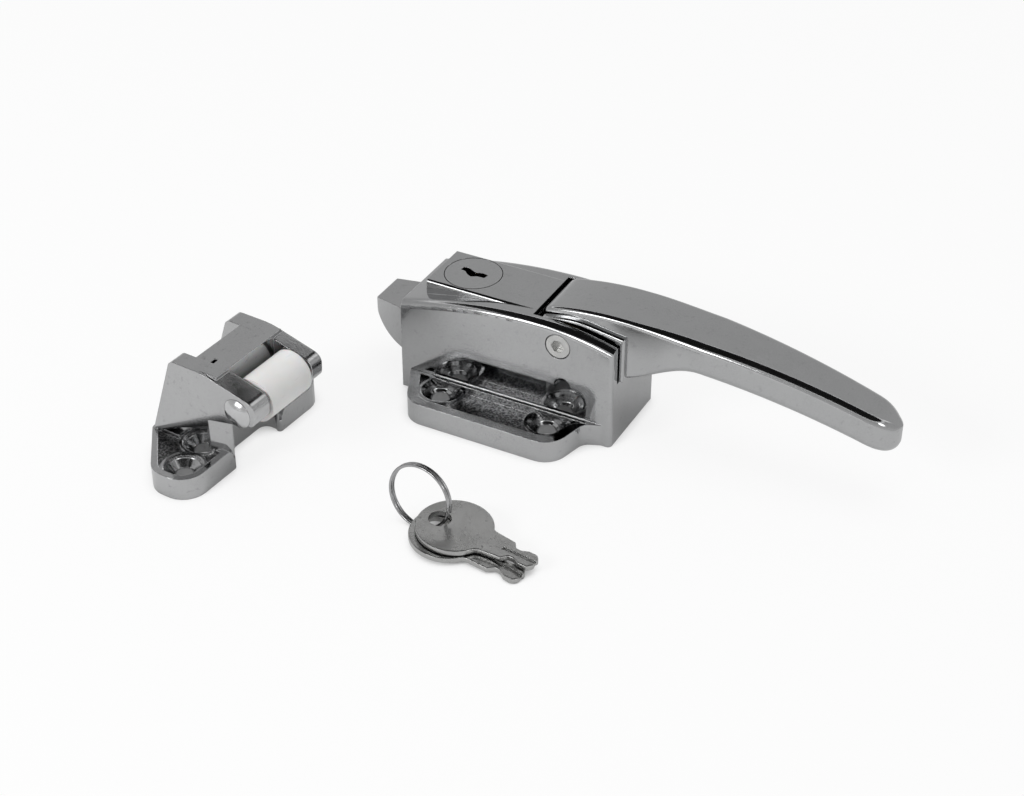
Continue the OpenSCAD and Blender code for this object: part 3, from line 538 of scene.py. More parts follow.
def handling_group() -> Tree:
    """Cloudy smears and small marks that handling leaves on polished metal.

    Smear is broad warped noise. Marks is sparse fine noise. Scratches is the
    larger of two sets of thin lines, where stretched noise crosses its middle.
    Grain is fine noise all over, clouded by a broader one.

    Returns:
        The group, with outputs Smear, Marks, Scratches and Grain.
    """
    tree, n, gin, gout = new_group(
        "handling marks",
        {"Place": ("Vector", None), "Size": ("Float", 1.0)},
        {"Smear": "Float", "Marks": "Float", "Scratches": "Float", "Grain": "Float"},
    )
    place, size = gin.outputs["Place"], gin.outputs["Size"]
    place = n.add("VectorMath", operation="SCALE", i0=place, Scale=size).outputs[0]
    warp = n.add("TexNoise", Vector=place, Scale=22.0, Detail=1.0).outputs["Color"]
    bent = n.add("VectorMath", operation="MULTIPLY_ADD", i0=warp, i1=(0.03, 0.03, 0.03), i2=place)
    bent = bent.outputs[0]
    smear = n.ramp(n.noise(bent, 55.0, 4.0, 0.6), 0.38, 0.72)
    marks = n.ramp(n.noise(bent, 420.0, 3.0, 0.65), 0.60, 0.74)
    lines = []
    for turn, stretch in ((0.5, (25.0, 900.0, 900.0)), (2.2, (1000.0, 40.0, 700.0))):
        turned = n.add("Mapping", Vector=place, Rotation=(0.3, 0.2, turn), Scale=stretch).outputs[0]
        value = n.add("TexNoise", Vector=turned, Scale=1.0, Detail=0.0).outputs[0]
        middle = n.math("ABSOLUTE", n.math("SUBTRACT", value, 0.5))
        lines.append(n.ramp(middle, 0.0, 0.012, 1.0, 0.0))
    scratches = n.mul(n.math("MAXIMUM", *lines), n.ramp(n.noise(place, 90.0, 1.0), 0.52, 0.64))
    cloud = n.ramp(n.noise(bent, 130.0, 2.0), 0.35, 0.7, 0.25, 1.0)
    grain = n.mul(n.ramp(n.noise(place, 1900.0, 2.0, 0.6), 0.35, 0.7), cloud)
    n.link(gout, Smear=smear, Marks=marks, Scratches=scratches, Grain=grain)
    return tree


def casting_group() -> Tree:
    """Rough skin that plating leaves in the low places of a casting.

    Height is two sizes of noise added together, and Pits is where the finer
    one dips.

    Returns:
        The group, with outputs Height and Pits.
    """
    tree, n, gin, gout = new_group(
        "cast skin",
        {"Place": ("Vector", None), "Grain": ("Float", 1500.0)},
        {"Height": "Float", "Pits": "Float"},
    )
    place = gin.outputs["Place"]
    fine = n.noise(place, gin.outputs["Grain"], 2.0, 0.6)
    height = n.plus(n.mul(fine, 0.7), n.noise(place, 420.0, 2.0), 0.3)
    n.link(gout, Height=height, Pits=n.ramp(fine, 0.44, 0.60, 1.0, 0.0))
    return tree


def start_material(name: str, color: tuple, **values: object) -> tuple:
    """Starts a material.

    Args:
        name: Name of the material.
        color: Its plain colour.
        values: Inputs of the shader, with _ for a space.

    Returns:
        The material, its Nodes and its shader.
    """
    mat = bpy.data.materials.new(name)
    mat.use_nodes = True
    mat.diffuse_color = (*color, 1.0)
    shader = mat.node_tree.nodes["Principled BSDF"]
    for key, value in values.items():
        shader.inputs[key.replace("_", " ")].default_value = value
    return mat, Nodes(mat.node_tree), shader


def shade(color: tuple, share: float) -> tuple:
    """A share of a colour."""
    return tuple(c * share for c in color)


@dataclass(frozen=True)
class Finish:
    """What every finish has: its name, its plain colour and its roughness."""

    name: str
    color: tuple
    roughness: float

    def build(self) -> Material:
        """Makes the material, with what paint gives on its shader.

        Returns:
            The material.
        """
        mat, n, shader = start_material(self.name, self.color, **self.inputs())
        tone, rough, bump = self.paint(n, n.add("TexCoord").outputs["Object"])
        n.link(shader, Base_Color=tone, Roughness=rough, Normal=bump.outputs[0])
        return mat

    def inputs(self) -> dict:
        """Plain inputs of the shader."""
        return {"Metallic": 1.0}

    def paint(self, n: Nodes, place: object) -> tuple:
        """Each kind of finish has its own."""
        raise NotImplementedError(self.name)


@dataclass(frozen=True)
class MetalFinish(Finish):
    """Plated or bare metal: rounded edges, smears, marks, rough low places, painted shade and
    highlight.

    rough_zones are boxes in millimetres, low corner and high corner, in which
    upward faces keep their cast skin. dark_zones are boxes in which deep shade
    is painted onto the metal as a nearly black tone, and dark_bores are holes
    along Y whose walls are painted so: the two coordinates of the axis, the
    radius, and the half width that they start from.
    """

    edge_mm: float = 0.5
    smear: float = 0.05
    scratch: float = 0.15
    marks: float = 0.3
    edge_rub_and_sheen: float = 0.25
    size: float = 1.0
    rough_zones: tuple = ()
    grain: float = 1500.0
    crease_shade: float = 0.8
    crease_shade_mm: float = 0.5
    dark_zones: tuple = ()
    dark_bores: tuple = ()
    edge_turn: tuple = (0.90, 0.995)
    worn_share: float = 0.55
    bright_gain: float = 1.5
    grain_share: float = 0.22
    dull_rough: float = 0.2
    skin_rough: float = 0.22
    skin_height: float = 9.0
    shade_rough: float = 0.35
    bump_m: float = 0.00004

    def boxes(self, n: Nodes, place: object, zones: tuple) -> object:
        """Mask of the places inside any of some boxes.

        Args:
            n: Nodes of the material.
            place: Socket of the object coordinates.
            zones: Pairs of corners in millimetres.

        Returns:
            Socket of the mask.
        """
        xyz = n.add("SeparateXYZ", Vector=place).outputs
        total: object = 0.0
        for low, high in zones:
            inside: object = 1.0
            for k in range(3):
                inside = n.mul(inside, n.above(xyz[k], low[k]))
                inside = n.mul(inside, n.below(xyz[k], high[k]))
            total = n.math("MAXIMUM", total, inside)
        return total

    def dark_mask(self, n: Nodes, place: object) -> object:
        """Mask of the places painted with deep shade: the boxes, and the round holes along Y.

        Args:
            n: Nodes of the material.
            place: Socket of the object coordinates.

        Returns:
            Socket of the mask.
        """
        total = self.boxes(n, place, self.dark_zones)
        side = n.math("ABSOLUTE", n.add("SeparateXYZ", Vector=place).outputs[1])
        for x, z, radius, start in self.dark_bores:
            away = n.away(place, (x, 0.0, z), (1.0, 0.0, 1.0))
            hole = n.mul(n.below(away, radius + 0.1, 0.05), n.below(side, start))
            total = n.math("MAXIMUM", total, hole)
        return total

    def paint(self, n: Nodes, place: object) -> tuple:
        """The plain tone, then wear with a painted highlight on its edges, cast skin and painted
        shade over it.

        Args:
            n: Nodes of the material.
            place: Socket of the object coordinates.

        Returns:
            Sockets of colour and roughness, and the bump node.
        """
        wear = n.group("handling marks", handling_group, Place=place, Size=self.size)
        bevel = n.add("Bevel", samples=5, Radius=self.edge_mm * MM).outputs[0]
        straight = n.add("NewGeometry").outputs["True Normal"]
        turn = n.add("VectorMath", operation="DOT_PRODUCT", i0=bevel, i1=straight).outputs["Value"]
        # Worn edges with a painted highlight: in patches, the tone goes lighter where the rounded
        # normal turns away from the face.
        patches = n.ramp(n.noise(place, 700.0, 3.0, 0.6), 0.40, 0.62)
        rubbed_sheen = n.mul(n.mul(n.ramp(turn, *self.edge_turn, 1.0, 0.0), patches), self.edge_rub_and_sheen)
        grain = n.mul(wear["Grain"], self.grain_share)
        dull = n.math("ADD", n.mul(wear["Marks"], self.marks), grain, clamp=True)
        lighter = tuple(min(1.0, c * self.bright_gain + 0.02) for c in self.color)
        tone = n.mix(dull, self.color, shade(self.color, self.worn_share))
        tone = n.mix(rubbed_sheen, tone, lighter)
        rough = n.plus(self.roughness, wear["Smear"], self.smear)
        rough = n.plus(rough, dull, self.dull_rough)
        height = n.plus(n.mul(wear["Scratches"], -self.scratch), wear["Grain"], 0.25)
        if self.rough_zones:
            cast = n.group("cast skin", casting_group, Place=place, Grain=self.grain)
            up = n.add("SeparateXYZ", Vector=straight).outputs[2]
            mask = n.mul(self.boxes(n, place, self.rough_zones), n.ramp(up, 0.5, 0.9))
            tone = n.mix(n.plus(n.mul(mask, 0.3), n.mul(mask, cast["Pits"]), 0.6), tone, SOOT)
            rough = n.plus(rough, mask, self.skin_rough)
            height = n.plus(height, n.mul(mask, cast["Height"]), self.skin_height)
        # Painted shade: the tone goes nearly black, and rougher, where ambient occlusion finds
        # close surfaces, in creases, gaps and round heads.
        near = n.add("AmbientOcclusion", samples=4, Distance=self.crease_shade_mm * MM).outputs["AO"]
        painted_shade = n.mul(n.ramp(near, 0.10, 0.45, 1.0, 0.0), self.crease_shade)
        # Painted shade: the dark boxes and holes are nearly black as well.
        if self.dark_zones or self.dark_bores:
            painted_shade = n.math("MAXIMUM", painted_shade, self.dark_mask(n, place))
        tone = n.mix(painted_shade, tone, SHADE_BLACK)
        rough = n.plus(rough, painted_shade, self.shade_rough)
        bump = n.add("Bump", Strength=0.5, Distance=self.bump_m, Height=height, Normal=bevel)
        return tone, rough, bump


@dataclass(frozen=True)
class BrushedFinish(Finish):
    """Metal turned on a lathe about an upright axis, with fine rings.

    Shade is painted nearly black on its rim and on what lies below its face.
    """

    centre_mm: tuple
    face_mm: float
    radius_mm: float
    edge_mm: float = 0.25
    pitch: float = 2600.0

    def paint(self, n: Nodes, place: object) -> tuple:
        """Rings: the height is fine noise of the distance from the axis.

        Args:
            n: Nodes of the material.
            place: Socket of the object coordinates.

        Returns:
            Sockets of colour and roughness, and the bump node.
        """
        away = n.away(place, (*self.centre_mm, 0.0), (1.0, 1.0, 0.0))
        line = n.add("TexNoise", noise_dimensions="1D", W=away, Scale=self.pitch, Detail=2.0)
        line = line.outputs[0]
        wear = n.group("handling marks", handling_group, Place=place, Size=1.6)
        bevel = n.add("Bevel", samples=4, Radius=self.edge_mm * MM).outputs[0]
        tone = n.mix(n.mul(wear["Marks"], 0.4), self.color, shade(self.color, 0.6))
        # Painted shade: nearly black below the face, in the keyway and the wafer slots, and on the
        # rim at the gap round the face.
        sunk = n.below(n.add("SeparateXYZ", Vector=place).outputs[2], self.face_mm - 0.425, 0.075)
        rim = n.above(away, self.radius_mm - 0.225, 0.075)
        tone = n.mix(n.mul(n.math("MAXIMUM", sunk, rim), 0.92), tone, SHADE_BLACK)
        bump = n.add("Bump", Strength=0.25, Distance=0.00002, Height=line, Normal=bevel)
        return tone, n.plus(self.roughness, line, 0.12), bump


@dataclass(frozen=True)
class NylonFinish(Finish):
    """White nylon with a faint moulded grain, scuffs and a soft edge."""

    edge_mm: float = 0.6

    def inputs(self) -> dict:
        """Plain inputs of the shader."""
        return {"Subsurface_Weight": 0.12, "Subsurface_Scale": 0.002}

    def paint(self, n: Nodes, place: object) -> tuple:
        """Clouded white with scuffs.

        Args:
            n: Nodes of the material.
            place: Socket of the object coordinates.

        Returns:
            Sockets of colour and roughness, and the bump node.
        """
        cloud = n.ramp(n.noise(place, 60.0, 3.0, 0.55), 0.35, 0.7)
        drawn = n.add("Mapping", Vector=place, Scale=(1.0, 0.15, 1.0)).outputs[0]
        scuff = n.ramp(n.noise(drawn, 900.0, 3.0, 0.7), 0.62, 0.72)
        tone = n.mix(cloud, self.color, shade(self.color, 0.93))
        tone = n.mix(n.mul(scuff, 0.35), tone, shade(self.color, 0.78))
        bevel = n.add("Bevel", samples=4, Radius=self.edge_mm * MM).outputs[0]
        grain = n.noise(place, 1800.0, 2.0)
        bump = n.add("Bump", Strength=0.2, Distance=0.00003, Height=grain, Normal=bevel)
        return tone, n.plus(self.roughness, scuff, 0.15), bump


def dress(obj: Piece, mat: Material) -> None:
    """Gives a piece its one material.

    Args:
        obj: The piece.
        mat: The material.
    """
    slots = obj.material_slots
    if not slots:
        obj.data.materials.append(mat)
    for slot in slots:
        slot.material = mat
    LOG.info("dressed %s in %s", obj.name, mat.name)


def place_piece(obj: Piece, mat: Material, body: str, slot: str, *nodes: str) -> None:
    """Dresses a new piece, sets it on its body and hides the nodes it stands for.

    Args:
        obj: The piece.
        mat: Its material.
        body: Body that it rides on.
        slot: Material slot of the record; not used.
        nodes: Nodes that it replaces.
    """
    dress(obj, mat)
    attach(obj, body)
    if nodes:
        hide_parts(*nodes)
    LOG.info("built %s on %s, %d faces", obj.name, body, len(obj.data.polygons))


# Sub-assemblies


@dataclass
class SubAssembly:
    """Pieces that are built and dressed together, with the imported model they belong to."""

    frame: dict

    def wear(self, finish: Finish, *names: str) -> None:
        """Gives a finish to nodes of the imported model.

        Args:
            finish: The finish.
            names: Names of the nodes.
        """
        mat = finish.build()
        for name in names:
            dress(self.frame["nodes"][name], mat)


@dataclass
class LatchHousing(SubAssembly):
    """Cast housing with its pin, nut and washers."""

    floor_mm: float = 5.6
    flange_far_mm: float = 36.0
    half_length_mm: float = 40.0
    slot_x_mm: float = 11.0
    cavity_end_mm: float = 42.0
    cavity_mm: tuple = (24.0, 44.7)
    inner_half_mm: float = 14.2
    half_mm: float = 18.2
    side_hole_mm: tuple = (24.9, 20.6, 3.5)
    margin_mm: float = 0.15

    def rough_zones(self) -> tuple:
        """Boxes over the floors between the screw holes, on both sides.

        Returns:
            Pairs of corners in millimetres.
        """
        zones, end = [], self.half_length_mm
        for side in Side:
            y = sorted((side.value * 2.0, side.value * self.flange_far_mm))
            zones.append(((-end, y[0], self.floor_mm - 0.6), (end, y[1], self.floor_mm + 0.7)))
        return tuple(zones)

    def build(self) -> None:
        """Dresses the housing and its small parts."""
        half = self.inner_half_mm + self.margin_mm
        low = (self.slot_x_mm - self.margin_mm, -half, self.cavity_mm[0])
        high = (self.cavity_end_mm, half, self.cavity_mm[1])
        # The lever's hub cavity, the slot before it and the side hole are painted nearly black as
        # deep shade.
        self.wear(MetalFinish(
            "chromed casting", CHROME, 0.06, edge_mm=0.45, smear=0.08,
            rough_zones=self.rough_zones(), dark_zones=((low, high),),
            dark_bores=((*self.side_hole_mm, self.half_mm - 0.4),),
        ), "housing")
        self.wear(MetalFinish(
            "satin pin", (0.62, 0.62, 0.61), 0.24, edge_mm=0.35, smear=0.1, size=2.0
        ), "pivot_pin", "pivot_nut")
        # A wider reach of painted shade round the rivet's head.
        self.wear(MetalFinish(
            "chromed rivet", (0.55, 0.553, 0.557), 0.12, edge_mm=0.3, smear=0.1, size=2.0,
            crease_shade_mm=0.9,
        ), "roller_axle")
        self.wear(MetalFinish(
            "plain bronze", (0.62, 0.44, 0.22), 0.34, edge_mm=0.2, smear=0.15, size=2.0
        ), "pivot_washers", "lever_bush")


@dataclass
class LiftingLever(SubAssembly):
    """Long cast lever: a lofted blade on a wide bored hub, with a toe for the bolt."""

    pivot_x: float = 22.8
    pivot_z: float = 36.9
    front_x: float = 13.9
    tip_x: float = 144.3
    tip_length: float = 11.0
    tip_rise: float = 6.0
    tip_rise_length: float = 7.5
    peak_x: float = 42.0
    top_z: float = 50.6
    long_arc: float = 320.0
    front_arc: float = 120.0
    taper_x: float = 75.0
    width: float = 23.2
    draw: float = 3.9
    thickness: float = 13.6
    hub_half: float = 13.3
    hub_low: float = 25.7
    hub_end: float = 46.5
    hub_top: float = 46.2
    front_r: float = 12.9
    bore_r: float = 5.05
    toe_r: float = 15.0
    toe_half: float = 2.0
    toe_nose: float = 2.5
    toe_neck: float = 1.7
    toe_turn: float = 20.0
    tip_drop: float = 0.024
    front_round: float = 1.4
    hub_rim: float = 0.9
    toe_rim: float = 0.3

    def top(self, x: np.ndarray) -> np.ndarray:
        """Height of the top along the lever.

        It is the peak less r minus the root of (r squared minus d squared),
        with d from the peak, held under a circle about the pivot in front of
        it, and drawn down at the tip by the square of the way past it.

        Args:
            x: Places along the lever.

        Returns:
            Heights in millimetres.
        """
        d = x - self.peak_x
        r = np.where(d > 0, self.long_arc, self.front_arc)
        crest = self.top_z - (r - np.sqrt(r * r - d * d))
        ahead = np.minimum(0, x - self.pivot_x)
        nose = self.pivot_z + np.sqrt(self.front_r**2 - ahead**2)
        past = np.maximum(0, x - self.tip_x + self.tip_length - 2)
        crown = np.where(x < self.pivot_x, np.minimum(crest, nose), crest)
        return crown - self.tip_drop * past**2

    def low(self, x: np.ndarray) -> np.ndarray:
        """Height of the underside.

        Behind the hub it is eased from the hub's foot to the top less the
        thickness, and at the tip it rises along a quarter ellipse. Inside the
        hub it stays above the bore, out of sight.

        Args:
            x: Places along the lever.

        Returns:
            Heights in millimetres.
        """
        d = x - self.peak_x
        crest = self.top_z - (self.long_arc - np.sqrt(self.long_arc**2 - d * d))
        rise = crest - self.thickness - self.hub_low
        shown = self.hub_low + rise * ease((x - self.hub_end + 6) / 34)
        t = np.clip((x - self.tip_x + self.tip_rise_length) / self.tip_rise_length, 0, 0.999)
        shown = shown + self.tip_rise * (1 - np.sqrt(1 - t * t))
        hidden = self.pivot_z + self.bore_r + 1
        return hidden + (shown - hidden) * ease((x - self.hub_end + 14) / 12)

    def half_width(self, x: np.ndarray) -> np.ndarray:
        """Half the width: straight, then tapering, then a quarter ellipse at the tip."""
        taper = np.clip((x - self.taper_x) / (self.tip_x - self.taper_x), 0, None)
        w = self.width / 2 - self.draw * taper
        t = np.clip((x - self.tip_x + self.tip_length) / self.tip_length, 0, 1)
        return w * np.sqrt(np.maximum(0.004, 1 - t * t))

    def blade(self) -> Piece:
        """Blade as a loft of rounded sections.

        Section at x: a box of the half width, from underside to top, whose top
        corners have a radius of 1.8 to 3 and whose lower corners grow from 1.5 at
        the hub to 5. Beside each arc there is one more point on the flat, so
        that the flat keeps its own normal. At the slot the section narrows
        along a quarter circle, which rounds the end of the blade.

        Returns:
            The blade.
        """
        tip, edge = self.tip_x - self.tip_length, self.front_round
        x = np.concatenate([
            self.front_x + edge * (1 - np.cos(np.radians(np.linspace(0, 85, 8)))),
            np.linspace(self.front_x + 1.6, tip, 96),
            tip + self.tip_length * np.sin(np.radians(np.linspace(4, 89, 24))),
        ])
        start = np.clip(1 - (x - self.front_x) / edge, 0, 1)
        w = self.half_width(x) - edge * (1 - np.sqrt(1 - start**2))
        top, low = self.top(x), self.low(x)
        rt = np.minimum(1.8 + 1.2 * ease((x - self.hub_end) / 25), w * 0.6)
        rb = np.minimum(1.5 + 3.5 * ease((x - self.peak_x) / 30), w * 0.7)
        rb = np.minimum(rb, (top - low) * 0.45)
        rings = []
        for cy, cz, r, a0 in (
            (w - rt, top - rt, rt, 0), (rt - w, top - rt, rt, 90),
            (rb - w, low + rb, rb, 180), (w - rb, low + rb, rb, 270),
        ):
            a = np.radians(np.linspace(a0, a0 + 90, 11))
            guard = np.minimum(0.15, r * 0.2)[:, None]
            y = cy[:, None] + r[:, None] * np.cos(a)
            z = cz[:, None] + r[:, None] * np.sin(a)
            ends = np.radians([a0 - 90, a0 + 180])
            more_y, more_z = guard * np.cos(ends), guard * np.sin(ends)
            y = np.concatenate([y[:, :1] + more_y[:, :1], y, y[:, -1:] + more_y[:, 1:]], 1)
            z = np.concatenate([z[:, :1] + more_z[:, :1], z, z[:, -1:] + more_z[:, 1:]], 1)
            rings.append(np.stack([np.broadcast_to(x[:, None], y.shape), y, z], -1))
        return face_outwards(make_object("lever_blade", *skin(np.concatenate(rings, 1))))

    def hub_outline(self) -> np.ndarray:
        """Side outline of the hub: round under the pivot, arched above, upright at its end.

        Returns:
            Points in X and Z, turning left.
        """
        radius = self.pivot_z - self.hub_low
        lower = arc(self.pivot_x, self.pivot_z, radius, 146, 270, 32)
        rest = round_corners([
            (self.pivot_x + 4, self.hub_low, 0),
            (self.hub_end, self.hub_low, 1),
            (self.hub_end, self.hub_top - 2.4, 1),
            (self.pivot_x + 4, self.hub_top + 0.4, 40),
            (self.front_x, self.hub_top - 2, 0.6),
            (self.front_x, self.pivot_z + 7, 0),
        ], 8)
        return np.concatenate([lower, rest])

    def toe_outline(self) -> np.ndarray:
        """Side outline of the toe, turned about the pivot.

        Returns:
            Points in X and Z, turning left.
        """
        nose = arc(0, -self.toe_r, self.toe_nose, 140, 400, 20)
        w, low, top = self.toe_neck, 3 - self.toe_r, -9.0
        neck = np.array([[w, low], [w, top], [-w, top], [-w, low]])
        p = np.concatenate([nose, neck])
        t = math.radians(self.toe_turn)
        x = p[:, 0] * math.cos(t) + p[:, 1] * math.sin(t)
        z = -p[:, 0] * math.sin(t) + p[:, 1] * math.cos(t)
        return np.stack([self.pivot_x + x, self.pivot_z + z], -1)

    def build(self) -> None:
        """Builds the lever in three pieces on its body."""
        mat = MetalFinish("chromed lever", CHROME, 0.05, edge_mm=0.3, smear=0.08).build()
        place_piece(self.blade(), mat, "lever", "chrome_casting", "lever")
        bore = (self.pivot_x, self.pivot_z, self.bore_r)
        hub = rounded_slab(self.hub_outline(), self.hub_half, self.hub_rim, bore)
        toe = rounded_slab(self.toe_outline(), self.toe_half, self.toe_rim)
        for name, shape in (("lever_hub", hub), ("lever_toe", toe)):
            piece = face_outwards(make_object(name, *shape))
            place_piece(piece, mat, "lever", "chrome_casting")


@dataclass
class SpringBolt(SubAssembly):
    """Chromed bolt with its two springs and their rods."""

    spring_y: float = 6.9
    spring_z: float = 23.6
    start_x: float = -25.7
    end_x: float = 6.1
    coil_r: float = 2.15
    wire: float = 0.7
    turns: float = 7.0

    def spring(self, side: Side) -> Piece:
        """One spring: the centre line is (x, r cos a, r sin a), with x rising evenly.

        Args:
            side: Which spring.

        Returns:
            The spring.
        """
        t = np.linspace(0, 1, int(self.turns * 40))
        a = 2 * math.pi * self.turns * t
        x = self.start_x + self.wire / 2 + (self.end_x - self.start_x - self.wire) * t
        y = side.value * self.spring_y + self.coil_r * np.cos(a)
        path = np.stack([x, y, self.spring_z + self.coil_r * np.sin(a)], -1)
        tangent = np.gradient(path, axis=0)
        tangent /= np.linalg.norm(tangent, axis=1, keepdims=True)
        out = np.stack([np.zeros_like(a), np.cos(a), np.sin(a)], -1)
        up = np.cross(tangent, out)
        rings = tube(path, out, up, self.wire / 2, 10)
        return face_outwards(make_object("bolt_spring_" + side.name.lower(), *skin(rings)))

    def build(self) -> None:
        """Dresses the bolt and builds the springs."""
        bolt = MetalFinish("chromed bolt", (0.46, 0.462, 0.466), 0.08, edge_mm=0.6, smear=0.10)
        self.wear(bolt, "bolt")
        rod = MetalFinish("drawn rod", (0.5, 0.5, 0.5), 0.3, edge_mm=0.2, size=2.0)
        self.wear(rod, "spring_guides")
        wire = MetalFinish("spring wire", (0.30, 0.30, 0.31), 0.28, edge_mm=0.05, size=3.0).build()
        for side in Side:
            piece = self.spring(side)
            dress(piece, wire)
            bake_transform(piece)
            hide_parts("bolt_springs")
            LOG.info("built %s between bolt and latch", piece.name)


@dataclass
class KeyLock(SubAssembly):
    """Lock: barrel, plug with its face, wafers, clip, cam and screw."""

    centre: tuple = (-20.8, 0.0)
    face_mm: float = 45.0
    face_low_mm: float = 43.3
    face_r: float = 10.75
    plug_r: float = 6.5
    plug_low_mm: float = 32.6
    foot_r: float = 5.5
    foot_low_mm: float = 31.3
    screw_r: float = 1.5
    wafer_low_mm: float = 34.6
    wafer_slot: float = 1.2
    wafer_step: float = 1.8
    wafer_half: float = 2.6
    wafers: int = 4
    wafer_gap: float = 0.1
    rim: float = 0.02
    keyway: tuple = (
        (-5.5, 0.3, 0.3), (-3.6, 0.1, 0.3), (-1.6, -1.7, 0.6), (0.1, -2.45, 0.6),
        (2.2, -1.2, 0.6), (5.0, -1.1, 0.3), (5.4, 1.2, 0.3), (3.3, 1.7, 0.6),
        (0.3, 0.9, 0.6), (-2.9, 2.5, 0.5), (-5.2, 2.5, 0.3),
    )

    def ring(self, radius: float) -> np.ndarray:
        """Circle about the lock's axis."""
        return arc(*self.centre, radius, 0, 356.25, 96)

    def plug(self) -> Piece:
        """Plug as a stack of level plates: foot, body with slots for the wafers, and face.

        At the height of a wafer only the two circle segments beside it are
        left. The stepped keyway runs down to the first wafer.

        Returns:
            The plug.
        """
        middle = np.array(self.centre)
        keyway = round_corners(self.keyway, 3) + middle
        screw = arc(*self.centre, self.screw_r, 0, 345, 24)
        bottom = self.wafer_low_mm - 0.8
        shapes = [
            plate(self.ring(self.foot_r), self.foot_low_mm, self.plug_low_mm, 0.1, screw),
            plate(self.ring(self.plug_r), self.plug_low_mm, bottom, 0.1, screw),
            plate(self.ring(self.face_r), self.face_low_mm, self.face_mm, 0.2, keyway),
        ]
        start = math.degrees(math.asin(self.wafer_half / self.plug_r))
        below = bottom
        for k in range(self.wafers):
            low = self.wafer_low_mm - self.wafer_gap + k * self.wafer_step
            shapes.append(plate(self.ring(self.plug_r), below, low, self.rim, keyway))
            for turn in (0, 180):
                segment = arc(*self.centre, self.plug_r, start + turn, 180 - start + turn, 40)
                shapes.append(plate(segment, low, low + self.wafer_slot, self.rim))
            below = low + self.wafer_slot
        shapes.append(plate(self.ring(self.plug_r), below, self.face_low_mm, self.rim, keyway))
        return even_normals(make_object("lock_core", *stack_shapes(shapes)))

    def build(self) -> None:
        """Builds the plug and dresses the other pieces of the lock."""
        face = BrushedFinish(
            "lock face", (0.45, 0.453, 0.457), 0.14, self.centre, self.face_mm, self.face_r
        ).build()
        place_piece(self.plug(), face, "plug", "chrome_casting", "lock_plug")
        grey = (0.48, 0.49, 0.50)
        zinc = MetalFinish("zinc plate", grey, 0.32, edge_mm=0.2, smear=0.15, size=2.5)
        self.wear(zinc, "lock_barrel", "lock_cam", "cam_screw", "roller_washers")
        clip = MetalFinish("clip steel", (0.28, 0.28, 0.29), 0.3, edge_mm=0.1, size=3.0)
        self.wear(clip, "lock_clip")
        brass = MetalFinish("stamped brass", (0.68, 0.52, 0.24), 0.26, edge_mm=0.1, size=3.0)
        self.wear(brass, "lock_wafers")


@dataclass
class RollerStrike(SubAssembly):
    """Cast strike with its nylon roller."""

    zone_low: tuple = (-110.0, -125.0)
    zone_high: tuple = (-50.0, -30.0)
    floor_mm: float = 7.0

    def build(self) -> None:
        """Dresses the strike and its roller."""
        zone = ((*self.zone_low, self.floor_mm - 0.5), (*self.zone_high, self.floor_mm + 0.35))
        self.wear(MetalFinish(
            "chromed strike", (0.47, 0.472, 0.476), 0.08, edge_mm=0.7, smear=0.10, marks=0.5,
            rough_zones=(zone,),
        ), "strike_body")
        self.wear(NylonFinish("white nylon", (0.80, 0.80, 0.79), 0.42), "strike_roller")


